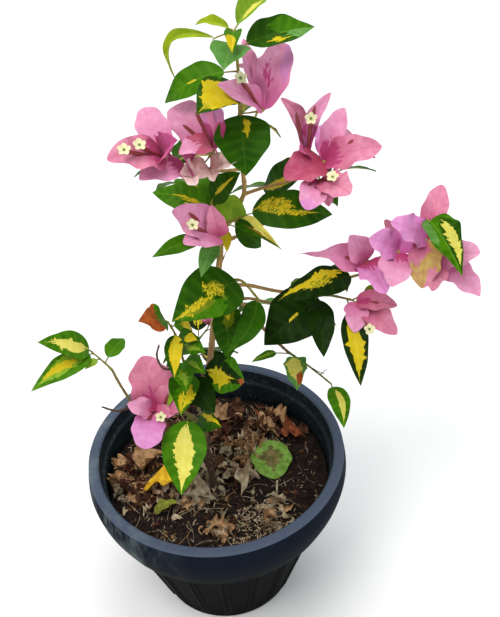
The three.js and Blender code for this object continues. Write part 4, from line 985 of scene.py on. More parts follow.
def add_flower(flowers, centre, end, light, kind):
    """A flower on its bract: a five-sided tube that lifts off the midrib, waisted above its foot
    and swollen higher up, closed to a blunt tip or open to a five-lobed star."""
    steps, sides = 14, 10
    step = end - centre
    face = blade_axes(unit(step), light, 0)[1]
    path = arc(centre, centre + step * 0.45 - face * 0.8, end, steps)
    radius = np.interp(np.linspace(0, 1, steps), TUBE["shares"], TUBE["radii"] + [TUBE["mouth"][kind]])
    ribs = 1 + 0.09 * np.cos(5 * around(sides))[None, :] * np.ones((steps, 1))
    flowers.add(*tube(path, radius, sides, ribs))
    if kind == OPEN:
        points, faces, colours = STAR
        up = unit(unit(path[-1] - path[-2]) + face * 1.1)
        across = unit(np.cross(up, [0.3, 0.2, 0.9]))
        flowers.add(end + up * 2.0 + points @ np.stack([across, np.cross(up, across), up]), faces, colours)


def add_thorn(pieces, root, way, length):
    """A thorn: a thin tapering spine, a little hooked."""
    hook = unit(way - np.array(UPWARD) * THORNY["hook"])
    path = arc(root, root + way * length * 0.5, root + (way + hook) * length * 0.5, 7)
    pieces.add(*tube(path, np.linspace(0.75, 0.12, 7), 6))


def dress_leaf(kinds, where, leaf, light, seed):
    """A leaf of the plan: its stalk, its blade in the colours of its look, and now and then a
    thorn beside it."""
    look, station, start, root, axis, length, width = leaf
    rng = np.random.default_rng(seed)
    path = arc(start, start + (root - start) * 0.75, root + axis * 2.0, 10)
    add_stalk(kinds["twigs"], path, [0, 0.2, 0.8, 1], [1.0, 0.62, 0.6, 0.45])
    ground, form, patches = LEAF_LOOKS[look]
    form = {"wave": 0.01 + 0.012 * rng.uniform(), "twist": rng.uniform(-12, 12), **form}
    grid = FINE_GRID if patches and where != "behind" else LEAF_GRID
    made = blade(root, axis, length, width, light, 0, LEAF, form, grid, seed)
    points, upper, under, spot, marks = made
    colours = patched(spot, ground, patches, seed, LEAF_COLOURS)
    below = np.where(colours < FIRST_PALE, LEAF_COLOURS.index("under"), colours)
    kinds[where].add(points, np.concatenate([upper, under]), np.concatenate([colours, below]), marks)
    if rng.uniform() < THORNY["share"] and THORNY["from"] < station < THORNY["to"]:
        bearing, pitch = direction(axis)
        way = heading(bearing + THORNY["aside"], pitch + THORNY["up"])
        add_thorn(kinds["twigs"], start, way, rng.uniform(*THORNY["length"]))


def dress_bloom(kinds, bloom, light, seed):
    """A bloom of the plan: its stalk, its bracts in the colours of its look, and its flowers."""
    look, start, centre, petals, ends = bloom
    along = unit(centre - start)
    path = arc(start, (start + centre) / 2 + [0, 0, -1.2], centre + along * 1.2, 14)
    add_stalk(kinds["twigs"], path, [0, 0.2, 0.85, 1], [0.95, 0.6, 0.8, 1.6])
    for k, (axis, length, width) in enumerate(petals):
        seed += 1
        rng = np.random.default_rng(seed)
        ground, form, patches = BRACT_LOOKS[look][k]
        form = {"twist": rng.uniform(-14, 14), "beats": rng.uniform(1.6, 2.8), **form}
        made = blade(centre, axis, length, width, light, 0, BRACT, form, BRACT_GRID, seed)
        points, upper, under, spot, marks = made
        colours = patched(spot, ground, patches, seed, BRACT_COLOURS)
        kinds["bracts"].add(points, np.concatenate([upper, under]), np.tile(colours, 2), marks)
    for kind, end in ends:
        add_flower(kinds["flowers"], centre, end, light, kind)


def add_bare_twig(pieces, start, legs, radii, seed):
    """A dead twig that goes through the ends of its legs."""
    points = [start]
    for place, length, side in legs:
        points.append(points[-1] + unit(reached(points[-1], place, length, side) - points[-1]) * length)
    add_limb(pieces, Path(points), radii, 8, seed, node_gap=8, rough=0.06, pitch=1.2,
             bark=BARKS.index("dead"))


def grow():
    """All limbs, twigs, leaves, bracts and flowers, each kind apart."""
    kinds = {k: Pieces() for k in ("bark", "twigs", "upper", "lower", "behind", "bracts", "flowers")}
    paths = {}
    for i, (name, carrier, at, radii, places) in enumerate(LIMBS):
        paths[name] = Path(through(paths[carrier].at(at) if carrier else TRUNK_FOOT, places))
        bark = BARKS.index("young" if name in YOUNG_LIMBS else "old")
        add_limb(kinds["bark"], paths[name], radii, 14 if carrier else 18, LIMB_SEED + i,
                 flare=None if carrier else TRUNK_FLARE, bark=bark)
    number = GROWTH_SEED
    for row in SPRAYS + BACK_SPRAYS:
        name, carrier, at, radii, places = row[:5]
        stem = paths[name] = Path(through(paths[carrier].at(at), places))
        if row in BACK_SPRAYS:
            light, where = BACK_LIGHT, "behind"
            leaves, blooms = grown_rows(stem, *row[5:])
        else:
            light, where = FRONT_LIGHT, "lower" if name in LOWER_SPRAYS else "upper"
            leaves, blooms = [set_leaf(stem, *r) for r in row[5]], [set_bloom(stem, *r) for r in row[6]]
        add_limb(kinds["twigs"], stem, radii, 10, number, node_gap=13, rough=0.04, pitch=1.3)
        for leaf in leaves:
            number += 1
            dress_leaf(kinds, where, leaf, light, number)
        for bloom in blooms:
            dress_bloom(kinds, bloom, light, number + 1)
            number += 1 + len(bloom[3])
    for name, at, legs, radii in BARE_TWIGS:
        number += 1
        add_bare_twig(kinds["bark"], paths[name].at(at), legs, radii, number)
    return kinds


# ---- Finishes ----


def linear(r, g, b):
    """A screen colour given as 0 to 255, as the linear values that a shader takes."""
    shares = [c / 255 for c in (r, g, b)]
    return tuple(c / 12.92 if c <= 0.0405 else ((c + 0.055) / 1.055) ** 2.4 for c in shares) + (1,)


def node(tree, kind, **values):
    """A node of a kind in a tree, with its own settings."""
    made = tree.nodes.new(kind)
    for key, value in values.items():
        setattr(made, key, value)
    return made


def give(tree, socket, value):
    """Lets a socket take another one's output, or a constant."""
    if isinstance(value, bpy.types.NodeSocket):
        tree.links.new(value, socket)
    else:
        socket.default_value = value


def smooth(tree, value, low, high):
    """A mask that rises smoothly from 0 at the low value to 1 at the high one."""
    spread = node(tree, "ShaderNodeMapRange", interpolation_type="SMOOTHSTEP")
    for label, given in (("Value", value), ("From Min", low), ("From Max", high)):
        give(tree, spread.inputs[label], given)
    return spread.outputs["Result"]


def mixed(tree, share, first, second):
    """The first colour, moved towards the second by a share."""
    mix = node(tree, "ShaderNodeMix", data_type="RGBA")
    for socket, given in ((mix.inputs["Factor"], share), (mix.inputs[6], first), (mix.inputs[7], second)):
        give(tree, socket, given)
    return mix.outputs[2]


def product(tree, first, *others):
    """The product of masks and numbers."""
    for other in others:
        step = node(tree, "ShaderNodeMath", operation="MULTIPLY")
        give(tree, step.inputs[0], first)
        give(tree, step.inputs[1], other)
        first = step.outputs[0]
    return first


def object_place(tree):
    """Where a point lies on the object, in metres, and the parts of that along X, Y and Z."""
    where = node(tree, "ShaderNodeTexCoord").outputs["Object"]
    parts = node(tree, "ShaderNodeSeparateXYZ")
    give(tree, parts.inputs[0], where)
    return where, parts.outputs


def stretched_noise(tree, where, scale, detail, roughness):
    """Noise with its own scale along each of X, Y and Z."""
    stretch = node(tree, "ShaderNodeMapping")
    give(tree, stretch.inputs["Scale"], scale)
    give(tree, stretch.inputs["Vector"], where)
    noise = node(tree, "ShaderNodeTexNoise")
    for label, value in (("Vector", stretch.outputs["Vector"]), ("Scale", 1), ("Detail", detail),
                         ("Roughness", roughness)):
        give(tree, noise.inputs[label], value)
    return noise.outputs["Fac"]


def make_group(name, inputs, outputs, build):
    """A shader node group with named inputs and outputs. build joins them up inside it."""
    group = bpy.data.node_groups.new(name, "ShaderNodeTree")
    for label, kind, value in inputs:
        socket = group.interface.new_socket(label, in_out="INPUT", socket_type=kind)
        socket.default_value = value
    for label, kind in outputs:
        group.interface.new_socket(label, in_out="OUTPUT", socket_type=kind)
    build(group, node(group, "NodeGroupInput").outputs, node(group, "NodeGroupOutput").inputs)
    return group


def build_drift(group, given, put):
    """Two colours mixed by noise on Object coordinates, and the same noise as a height."""
    noise = node(group, "ShaderNodeTexNoise")
    where = node(group, "ShaderNodeTexCoord").outputs["Object"]
    for label, value in (("Vector", where), ("Scale", given["Scale"]), ("Detail", 4), ("Roughness", 0.6)):
        give(group, noise.inputs[label], value)
    mask = smooth(group, noise.outputs["Fac"], given["From"], given["To"])
    give(group, put["Color"], mixed(group, mask, given["Ground"], given["Drift"]))
    give(group, put["Mask"], mask)
    give(group, put["Height"], noise.outputs["Fac"])


DRIFT = make_group(
    "tone_drift",
    [("Ground", "NodeSocketColor", (1, 1, 1, 1)), ("Drift", "NodeSocketColor", (0, 0, 0, 1)),
     ("Scale", "NodeSocketFloat", 60), ("From", "NodeSocketFloat", 0.35), ("To", "NodeSocketFloat", 0.65)],
    [("Color", "NodeSocketColor"), ("Mask", "NodeSocketFloat"), ("Height", "NodeSocketFloat")], build_drift)


def build_veined(group, given, put):
    """A colour that starts as the root colour and changes to its own along the blade, and that
    moves towards the vein colour where the blade's own mark says vein."""
    vein, along = (node(group, "ShaderNodeAttribute", attribute_name=k).outputs["Fac"] for k in MARKS)
    ground = mixed(group, smooth(group, along, 0.0, ROOT_REACH), given["Root"], given["Color"])
    share = product(group, vein, given["Vein Share"])
    give(group, put["Color"], mixed(group, share, ground, given["Vein"]))


# A blade has its root's tone near its root, and its own from this share of its length on. On a bract the
# deeper root tone is partly its own colour and partly painted shade where the bracts overlap.
ROOT_REACH = 0.75
VEINED = make_group(
    "veined",
    [("Color", "NodeSocketColor", (1, 1, 1, 1)), ("Root", "NodeSocketColor", (1, 1, 1, 1)),
     ("Vein", "NodeSocketColor", (1, 1, 1, 1)), ("Vein Share", "NodeSocketFloat", 0.3)],
    [("Color", "NodeSocketColor")], build_veined)


def use(tree, group, **values):
    """The group placed in a material, with its values."""
    made = node(tree, "ShaderNodeGroup", node_tree=group)
    for label, value in values.items():
        give(tree, made.inputs[label.replace("_", " ")], value)
    return made


def finish(name, roughness, specular=0.5, sheen=0.0):
    """A material with one Principled shader, its constants on the shader's own sockets."""
    material = bpy.data.materials.new(name)
    material.use_nodes = True
    shader = material.node_tree.nodes["Principled BSDF"]
    shader.inputs["Roughness"].default_value = roughness
    shader.inputs["Specular IOR Level"].default_value = specular
    shader.inputs["Sheen Weight"].default_value = sheen
    return material, material.node_tree, shader


def add_bump(tree, shader, height, strength, distance):
    """Lets a height stand in the surface."""
    bump = node(tree, "ShaderNodeBump")
    for label, value in (("Strength", strength), ("Distance", distance), ("Height", height)):
        give(tree, bump.inputs[label], value)
    give(tree, shader.inputs["Normal"], bump.outputs["Normal"])


def vary_roughness(tree, shader, mask, low, high):
    """Lets the roughness go from low to high with a mask."""
    spread = node(tree, "ShaderNodeMapRange")
    for label, value in (("Value", mask), ("To Min", low), ("To Max", high)):
        give(tree, spread.inputs[label], value)
    give(tree, shader.inputs["Roughness"], spread.outputs["Result"])


def blade_finish(name, tones, share=0, roughness=0.6, specular=0.4, scale=90, bump=0.15, sheen=0.0):
    """A leaf's or bract's surface: its colour drifts a little, its root and, by a share, its veins
    have their own tone, and a fine grain stands in it."""
    ground, drift, root, vein = (linear(*tone) for tone in tones)
    material, tree, shader = finish(name, roughness, specular, sheen)
    tone = use(tree, DRIFT, Ground=ground, Drift=drift, Scale=scale)
    veined = use(tree, VEINED, Root=root, Vein=vein, Vein_Share=share, Color=tone.outputs["Color"])
    give(tree, shader.inputs["Base Color"], veined.outputs["Color"])
    vary_roughness(tree, shader, tone.outputs["Mask"], roughness - 0.05, roughness + 0.08)
    grain = use(tree, DRIFT, Scale=900)
    add_bump(tree, shader, grain.outputs["Height"], bump, 0.0004)
    return material


def leaf_finishes():
    """A finish for each leaf colour, in the order of LEAF_COLOURS."""
    return [blade_finish("leaf_" + k, LEAF_TONES[k], 0.28, 0.45, 0.06) for k in LEAF_COLOURS]


def bract_finishes():
    """A finish for each bract colour, in the order of BRACT_COLOURS. Bracts have a papery sheen."""
    return [blade_finish("bract_" + k, BRACT_TONES[k], 0.45, 0.66, 0.18, scale=130, bump=0.25, sheen=0.1)
            for k in BRACT_COLOURS]


def flower_finishes():
    """The tube, the star and its eye."""
    return [blade_finish("flower_tube", FLOWER_TONES["tube"], roughness=0.5, specular=0.25),
            blade_finish("flower_star", FLOWER_TONES["star"], specular=0.2),
            blade_finish("flower_eye", FLOWER_TONES["eye"])]


def bark_finish(name, low, high, split, grey, roughness):
    """Bark: its tone changes with height from the low to the high colour, with grey flecks."""
    material, tree, shader = finish(name, roughness, 0.3)
    where, parts = object_place(tree)
    tone = mixed(tree, smooth(tree, parts["Z"], *split), linear(*low), linear(*high))
    fleck = use(tree, DRIFT, Ground=tone, Drift=linear(*grey), Scale=420, From=0.52, To=0.72)
    give(tree, shader.inputs["Base Color"], fleck.outputs["Color"])
    vary_roughness(tree, shader, fleck.outputs["Mask"], roughness - 0.05, roughness + 0.1)
    add_bump(tree, shader, stretched_noise(tree, where, (900, 900, 160), 4, 0.5), 0.5, 0.0006)
    return material


# Pale tone of the left side's streaks: partly stains, partly painted light where the key lamp falls.
STAIN_AND_SHEEN = (134, 150, 148)
DUST = (122, 124, 116)
SPECK = (140, 142, 132)


def plastic(name, low, high, dust_share, stain_and_sheen_share, roughness, specular):
    """Moulded plastic: its tone goes from the low to the high colour with height, the darker lower part being
    painted shade, soil dust lies on it in patches and specks, and pale streaks run down its left side, partly
    stains and partly painted light where the key lamp falls."""
    material, tree, shader = finish(name, roughness, specular)
    where, parts = object_place(tree)
    # Darker lower down: painted shade on the body under the band, up the band, and down the inside wall
    # towards the soil.
    colour = mixed(tree, smooth(tree, parts["Z"], 0.12, 0.182), linear(*low), linear(*high))
    runs = smooth(tree, stretched_noise(tree, where, (34, 34, 11), 6, 0.7), 0.44, 0.68)
    left, band = smooth(tree, parts["X"], -0.02, -0.11), smooth(tree, parts["Z"], 0.12, 0.15)
    # Pale streaks on the left side only: partly stains, partly painted light from the key lamp.
    colour = mixed(tree, product(tree, left, band, runs, stain_and_sheen_share), colour, linear(*STAIN_AND_SHEEN))
    dust = use(tree, DRIFT, Scale=260, From=0.5, To=0.75)
    colour = mixed(tree, product(tree, dust.outputs["Mask"], dust_share), colour, linear(*DUST))
    specks = node(tree, "ShaderNodeTexVoronoi")
    give(tree, specks.inputs["Scale"], 260)
    give(tree, specks.inputs["Vector"], where)
    patch = use(tree, DRIFT, Scale=40, From=0.48, To=0.6)
    spot = product(tree, smooth(tree, specks.outputs["Distance"], 0.2, 0.1), patch.outputs["Mask"],
                   dust_share * 2.5)
    colour = mixed(tree, spot, colour, linear(*SPECK))
    give(tree, shader.inputs["Base Color"], colour)
    vary_roughness(tree, shader, dust.outputs["Mask"], roughness, roughness + 0.2)
    add_bump(tree, shader, dust.outputs["Height"], 0.1, 0.0005)
    return material


# The numbers of the pot's finishes.
OUTSIDE, RIM, INSIDE = 0, 1, 2


def pot_finishes():
    """The outside, the rim's top, where dust lies and whose paler tone is painted light on its upward face,
    and the inside.
    """
    return [plastic("plastic_outside", (5, 6, 7), (17, 24, 36), 0.02, 0.5, 0.6, 0.02),
            # The rim's paler tone is painted light on its upward face; its dust is dust.
            plastic("plastic_rim", (66, 76, 94), (70, 80, 98), 0.12, 0.3, 0.55, 0.1),
            plastic("plastic_inside", (18, 24, 26), (26, 38, 44), 0.22, 0.0, 0.5, 0.1)]


def plain_finish(name, ground, drift, scale, roughness, bump=0.4, distance=0.001, detail=420):
    """Earth, dry leaf or straw: two tones in patches, with a rough grain."""
    material, tree, shader = finish(name, roughness, 0.25)
    tone = use(tree, DRIFT, Ground=linear(*ground), Drift=linear(*drift), Scale=scale)
    give(tree, shader.inputs["Base Color"], tone.outputs["Color"])
    vary_roughness(tree, shader, tone.outputs["Mask"], roughness - 0.08, roughness + 0.04)
    grain = use(tree, DRIFT, Scale=detail)
    add_bump(tree, shader, grain.outputs["Height"], bump, distance)
    return material


# ---- Pot ----


def eased(rows, reach):
    """A profile whose corners are eased: points are set a reach away on both sides of each corner,
    and then every corner is cut by a quarter, several times over."""
    rows = np.asarray(rows, float)

    def beside(corner, end):
        gap = np.linalg.norm(end - corner)
        return corner + (end - corner) * min(reach, 0.45 * gap) / gap

    out = [rows[0]]
    for before, corner, after in zip(rows[:-2], rows[1:-1], rows[2:]):
        out += [beside(corner, before), corner, beside(corner, after)]
    out = np.array(out + [rows[-1]])
    for _ in range(CORNER_CUTS):
        cut = np.stack([0.75 * out[:-1] + 0.25 * out[1:], 0.25 * out[:-1] + 0.75 * out[1:]], 1).reshape(-1, 2)
        out = np.vstack([out[:1], cut, out[-1:]])
    return out


def pot_profile():
    """The pot's profile in three parts: its body, its band with the rim, and its inside. The band
    bulges as a smooth curve."""
    radius, height = np.array(POT_BAND).T
    z = np.linspace(height[0], height[-1], BAND_ROWS)
    bulge = np.interp(z, height, radius)
    for _ in range(BAND_ROUNDS):
        bulge[1:-1] = (bulge[:-2] + 2 * bulge[1:-1] + bulge[2:]) / 4
    band = np.stack([bulge, z], -1)
    (low_radius, low), (high_radius, high) = POT_BODY[1:]
    wall = [(np.interp(h, [low, high], [low_radius, high_radius]), h) for h in WALL_ROWS]
    base = eased(POT_BODY[:2] + wall[:1], POT_EASE["body"])
    shoulder = eased([wall[-1], POT_BODY[2], POT_BAND[0], band[2]], POT_EASE["body"])[:-1]
    rim = eased([band[-2]] + POT_LIP, POT_EASE["lip"])
    body = np.vstack([base, wall[1:-1], shoulder])
    return body, np.vstack([band[3:-2], rim]), eased(POT_INSIDE, POT_EASE["inside"])


def rib_push(r, height, away, pair):
    """How far each (row, angle) of the body is pushed out, with away the degrees to the middle of
    the nearest pair: two rounded ridges to a pair, a shallow hollow between pairs, and both fade
    at the body's ends."""
    rise = (np.clip((height - RIBS["foot"]) / RIBS["fade"], 0, 1)
            * np.clip((RIBS["top"] - height) / RIBS["fade"], 0, 1))
    off = np.radians(np.abs(away - RIBS["apart"] / 2))[None, :] * r[:, None]
    ridge = np.exp(-((off / (RIBS["width"] / 2)) ** 4))
    start = RIBS["hollow_from"]
    hollow = np.clip((away - start) / (pair / 2 - start), 0, 1) ** 0.5
    return rise[:, None] * (RIBS["proud"] * ridge - RIBS["hollow"] * hollow[None, :] * (1 - ridge))


def make_pot():
    """The pot: one profile turned about its axis, with pairs of upright ribs on its body."""
    body, top, inner = pot_profile()
    profile = np.vstack([body, top, inner])
    r, height = profile.T
    ribbed = np.arange(len(profile)) < len(body)
    pair = 360 / RIBS["pairs"]
    near = np.array(RIB_STEPS)
    step = np.concatenate([-near[:0:-1], near, [pair / 2]])
    angle = np.radians((pair * np.arange(RIBS["pairs"])[:, None] + step[None, :] - 90).ravel())
    push = rib_push(r, height, np.abs(np.tile(step, RIBS["pairs"])), pair) * ribbed[:, None]
    points, faces = turned_profile(profile, angle, push)
    kind = np.full(len(profile), OUTSIDE)
    kind[(height > RIM_FROM) & ~ribbed] = RIM
    kind[-len(inner):] = INSIDE
    colours = np.concatenate([np.tile(np.repeat(kind[:-1], len(angle)), 2),
                              np.repeat([OUTSIDE, INSIDE], len(angle))])
    pot = Pieces()
    pot.add(points, faces, colours)
    pot.make("round_pot", pot_finishes(), "pot", ["pot"], crease=40)


# ---- Soil and what lies on it ----


def soil_height(x, y):
    """The soil's top: level in the middle, lower at the wall, with soft heaps and a crumbly grain
    that is calmer round the trunk."""
    flat = np.stack([x, y, np.zeros_like(x)], -1).reshape(-1, 3)
    at = lambda size, seed: ripple(flat, size, seed, 9).reshape(x.shape)
    dipped = (np.hypot(x, y) - SOIL["dips_from"]) / (SOIL["reach"] - SOIL["dips_from"])
    rise = SOIL["level"] - SOIL["dip"] * np.clip(dipped, 0, 1) ** 2
    clods = np.abs(at(9, 5)) * 1.6 + np.abs(at(5, 7)) * 0.9
    calm = np.clip((np.hypot(x - TRUNK_FOOT[0], y - TRUNK_FOOT[1]) - 4) / 10, 0.15, 1)
    return rise + calm * (1.7 * at(52, 3) + clods + 0.5 * at(2.6, 11) - 0.6)


def height_at(x, y):
    """The soil's height at one place."""
    return float(soil_height(np.array(x), np.array(y)))


def rest_on_soil(points, depth):
    """Lifts points that lie deeper in the soil than the depth."""
    points[:, 2] = np.maximum(points[:, 2], soil_height(points[:, 0], points[:, 1]) - depth)


def make_soil():
    """The soil's body: its top is a round grid lifted by its height, closed by a wall and a floor."""
    rings = np.sqrt(np.linspace(1, 0.0001, SOIL["rings"])) * SOIL["reach"]
    points, faces = turned_profile(SOIL_WALL + [(r, SOIL["level"]) for r in rings], around(SOIL["steps"]))
    top = points[:, 2] > SOIL_WALL[-1][1]
    points[top, 2] = soil_height(points[top, 0], points[top, 1])
    soil = Pieces()
    soil.add(points, faces)
    return soil


def blob():
    """A twenty-faced grain about the origin, radius 1."""
    g = (1 + 5**0.5) / 2
    points = np.array([(-1, g, 0), (1, g, 0), (-1, -g, 0), (1, -g, 0), (0, -1, g), (0, 1, g), (0, -1, -g),
                       (0, 1, -g), (g, 0, -1), (g, 0, 1), (-g, 0, -1), (-g, 0, 1)]) / math.sqrt(1 + g * g)
    gaps = np.linalg.norm(points[:, None] - points[None], axis=-1)
    near = np.abs(gaps - gaps[gaps > 0].min()) < 0.01
    faces = [(i, j, k) for i in range(12) for j in range(i + 1, 12) for k in range(j + 1, 12)
             if near[i, j] and near[j, k] and near[i, k]]
    faces = np.array(faces)
    a, b, c = (points[faces[:, i]] for i in range(3))
    inward = (np.cross(b - a, c - a) * a).sum(-1) < 0
    faces[inward] = faces[inward][:, [0, 2, 1]]
    return points, faces


GRAIN = blob()


def add_grains(pieces, shaped, basis, centres, colours):
    """Grains whose points are given about the origin, each turned by its basis and moved to its
    centre."""
    count, corners = shaped.shape[:2]
    faces = GRAIN[1]
    placed = np.einsum("npk,nkj->npj", shaped, basis) + centres[:, None]
    numbers = faces[None] + (np.arange(count) * corners)[:, None, None]
    pieces.add(placed, numbers, np.repeat(colours, len(faces)))


def scatter(pieces, centres, sizes, colours, seed):
    """Grains at the centres, each stretched to its three sizes, turned at random and dented."""
    rng = np.random.default_rng(seed)
    points, count = GRAIN[0], len(centres)
    basis = np.linalg.qr(rng.normal(size=(count, 3, 3)))[0]
    basis[np.linalg.det(basis) < 0] *= -1
    dent = rng.uniform(0.7, 1.15, (count, len(points), 1))
    add_grains(pieces, points[None] * dent * sizes[:, None, :], basis, centres, colours)


def lying(pieces, centres, sizes, colours, seed):
    """Flat slivers lying on the soil: grains stretched along a bearing and turned only about the
    upright axis, with a little tilt."""
    rng = np.random.default_rng(seed)
    count = len(centres)
    b, tilt = rng.uniform(0, 2 * math.pi, count), rng.normal(0, 0.22, count)
    along = np.stack([np.cos(b) * np.cos(tilt), np.sin(b) * np.cos(tilt), np.sin(tilt)], -1)
    across = np.stack([-np.sin(b), np.cos(b), np.zeros(count)], -1)
    basis = np.stack([along, across, np.cross(along, across)], 1)
    add_grains(pieces, GRAIN[0][None] * sizes[:, None, :], basis, centres, colours)


# How far from the pot's axis loose matter is strewn, and how far a grain, a scrap or a thread of
# it may reach.
STREWN = 106
FARTHEST = {"grain": 107, "scrap": 108, "thread": 104}


def spread_on_soil(count, seed, reach=STREWN, middle=(0, 0), lift=0.3):
    """Seeded places on the soil, evenly over a round patch about the middle."""
    rng = np.random.default_rng(seed)
    r, a = reach * np.sqrt(rng.uniform(0, 1, count)), rng.uniform(0, 2 * math.pi, count)
    x, y = middle[0] + r * np.cos(a), middle[1] + r * np.sin(a)
    keep = np.hypot(x, y) < FARTHEST["grain"]
    x, y = x[keep], y[keep]
    return np.stack([x, y, soil_height(x, y) + lift], -1)


# Dead leaves: [x, y, lift, bearing, pitch, length, width, roll, colour, form].
LITTER = [
    [-31, -28, 11, 172, 12, 44, 32, -10, "gold", {"wave": 0.08, "fold": 0.35, "curl": 0.35, "bow": 0.2}],
    [57, -15, 2, 95, 12, 43, 41, 0, "withered", {"fold": -0.12, "curl": -0.1, "wave": 0.03, "p": 0.72,
                                                 "q": 0.5}],
    [-104, 6, 4, 20, 25, 28, 18, 20, "tan", {"wave": 0.14, "fold": 0.5, "curl": 0.3}],
    [-88, 20, 3, -20, 20, 25, 17, -30, "brown", {"wave": 0.16, "fold": 0.4, "curl": 0.4}],
    [-98, -14, 3, -40, 15, 28, 18, 30, "brown", {"wave": 0.16, "fold": 0.5, "curl": 0.2}],
    [-84, -30, 2, 30, 20, 26, 16, -20, "russet", {"wave": 0.18, "fold": 0.5, "curl": 0.3}],
    [-70, -8, 3, -60, 15, 28, 17, 10, "tan", {"wave": 0.14, "fold": 0.4, "curl": 0.3}],
    [-90, 0, 6, 60, 35, 28, 18, 40, "russet", {"wave": 0.2, "fold": 0.6, "curl": 0.4}],
    [-46, -32, 2, 25, 15, 34, 20, 15, "grey", {"wave": 0.16, "fold": 0.4, "curl": 0.3}],
    [-30, -16, 3, -50, 25, 34, 22, -30, "grey", {"wave": 0.18, "fold": 0.5, "curl": 0.4}],
    [-62, -50, 2, 25, 18, 26, 12, 0, "green_gold", {"wave": 0.06, "fold": 0.5, "curl": 0.2}],
    [38, 56, 3, -20, 25, 28, 22, 20, "tan", {"wave": 0.18, "fold": 0.5, "curl": 0.5}],
    [52, 46, 4, 160, 30, 26, 18, -30, "brown", {"wave": 0.16, "fold": 0.5, "curl": 0.3}],
    [66, 46, 2, -10, 15, 26, 16, 0, "rust", {"wave": 0.14, "fold": 0.4, "curl": 0.3}],
    [26, 24, 3, -30, 20, 28, 18, 20, "tan", {"wave": 0.2, "fold": 0.5, "curl": 0.4}],
    [18, 0, 3, -70, 22, 30, 20, 30, "straw", {"wave": 0.2, "fold": 0.5, "curl": 0.5}],
    [22, 70, 3, 200, 25, 26, 16, 0, "russet", {"wave": 0.16, "fold": 0.5, "curl": 0.3}],
    [-6, 74, 3, 20, 20, 30, 18, 30, "brown", {"wave": 0.16, "fold": 0.5, "curl": 0.3}],
    [4, -72, 2, 150, 12, 20, 14, 0, "tan", {"wave": 0.22, "fold": 0.4, "curl": 0.4}],
    [10, 20, 2, 100, 12, 24, 14, 0, "grey", {"wave": 0.2, "fold": 0.4, "curl": 0.4}],
    [-40, 60, 3, -140, 20, 32, 20, 20, "brown", {"wave": 0.16, "fold": 0.4, "curl": 0.3}],
    [-77, 0, 12, 40, 30, 30, 24, 10, "tan", {"wave": 0.1, "fold": 0.7, "curl": 0.5}],
    [10, 66, 8, 200, 40, 28, 20, 10, "tan", {"wave": 0.12, "fold": 0.6, "curl": 0.5}],
    [-46, -58, 2, 0, 20, 11, 7, 0, "straw", {"wave": 0.1, "fold": 0.5, "curl": 0.2}],
    [60, 82, 3, -60, 15, 26, 14, 20, "tan", {"wave": 0.16, "fold": 0.4, "curl": 0.3}],
    [-24, 92, 3, 10, 15, 28, 16, 20, "russet", {"wave": 0.16, "fold": 0.4, "curl": 0.3}],
]
# What a dead leaf's form adds to a leaf's shape.
DEAD_LEAF = {"beats": 2.7, "veins": 5, "crinkle": 0.5}
# The stalk of the fallen green leaf: its start, the point it leaves towards, and its end.
FALLEN_STALK = [(59, -17, 151.5), (58, -28, 152.0), (57, -40, 150.0)]
# Ground and drift tones of the dry matter, from 0 to 255.
LITTER_TONES = {
    "tan": ((186, 148, 108), (132, 96, 62)), "brown": ((98, 62, 38), (56, 35, 23)),
    "russet": ((88, 46, 32), (48, 26, 20)), "grey": ((158, 144, 118), (108, 96, 76)),
    "rust": ((150, 80, 42), (98, 48, 26)), "green_gold": ((146, 150, 54), (104, 112, 40)),
    "withered": ((132, 170, 76), (98, 138, 48)), "scar": ((124, 112, 66), (78, 80, 40)),
    "straw": ((196, 180, 150), (146, 126, 98)), "gold": ((222, 182, 36), (200, 150, 26)),
}
LITTER_COLOURS = list(LITTER_TONES)
# Ground and drift tones of the soil, then its roughness and the strength and depth of its grain.
SOIL_TONES = {
    "dark": ((40, 28, 22), (20, 12, 9), 0.95, 0.8, 0.002),
    "crumb": ((66, 46, 34), (38, 25, 18), 0.95, 0.6, 0.001),
    "chip": ((132, 112, 88), (88, 68, 50), 0.9, 0.5, 0.001),
}
# Crumpled scraps: [x, y, spread, count, shortest, longest, lift, colours].
SCRAPS = [
    [-88, -2, 26, 100, 6, 16, 7, ["tan", "brown", "russet", "tan", "grey"]],
    [-62, -20, 24, 56, 6, 14, 5, ["tan", "russet", "brown", "straw"]],
    [-24, -22, 22, 64, 6, 16, 5, ["grey", "straw", "grey", "tan"]],
    [16, 62, 34, 38, 8, 18, 3, ["brown", "tan", "russet", "grey"]],
    [62, 62, 30, 22, 8, 16, 3, ["tan", "rust", "brown", "russet"]],
    [20, 4, 18, 26, 8, 18, 3, ["tan", "straw", "brown"]],
    [30, 34, 20, 26, 8, 16, 3, ["tan", "straw", "brown"]],
    [0, -74, 9, 28, 5, 11, 3, ["tan", "straw", "tan"]],
    [52, -58, 18, 26, 6, 13, 1, ["grey", "straw", "tan"]],
    [-60, 50, 30, 30, 6, 16, 1, ["brown", "russet", "tan"]],
    [0, 0, 102, 80, 3, 9, 1, ["brown", "tan", "russet", "grey", "straw"]],
]
# Slivers of straw and husk: [count, seed, reach, middle, spans of the three sizes, colours' shares].
SLIVERS = [
    [620, 31, STREWN, (0, 0), [(1.5, 5), (0.2, 0.5), (0.15, 0.3)],
     {"tan": 0.25, "brown": 0.3, "straw": 0.3, "grey": 0.15}],
    [520, 33, 34, (40, -76), [(1.2, 3.2), (0.3, 0.7), (0.15, 0.35)],
     {"tan": 0.15, "straw": 0.6, "grey": 0.25}],
]
# Threads of straw: [count, seed, reach, middle].
THREADS = [[150, 41, STREWN, (0, 0)], [140, 42, 30, (-24, -20)], [130, 43, 44, (20, 56)]]
THREAD_COLOURS = ["tan", "grey", "straw", "brown"]
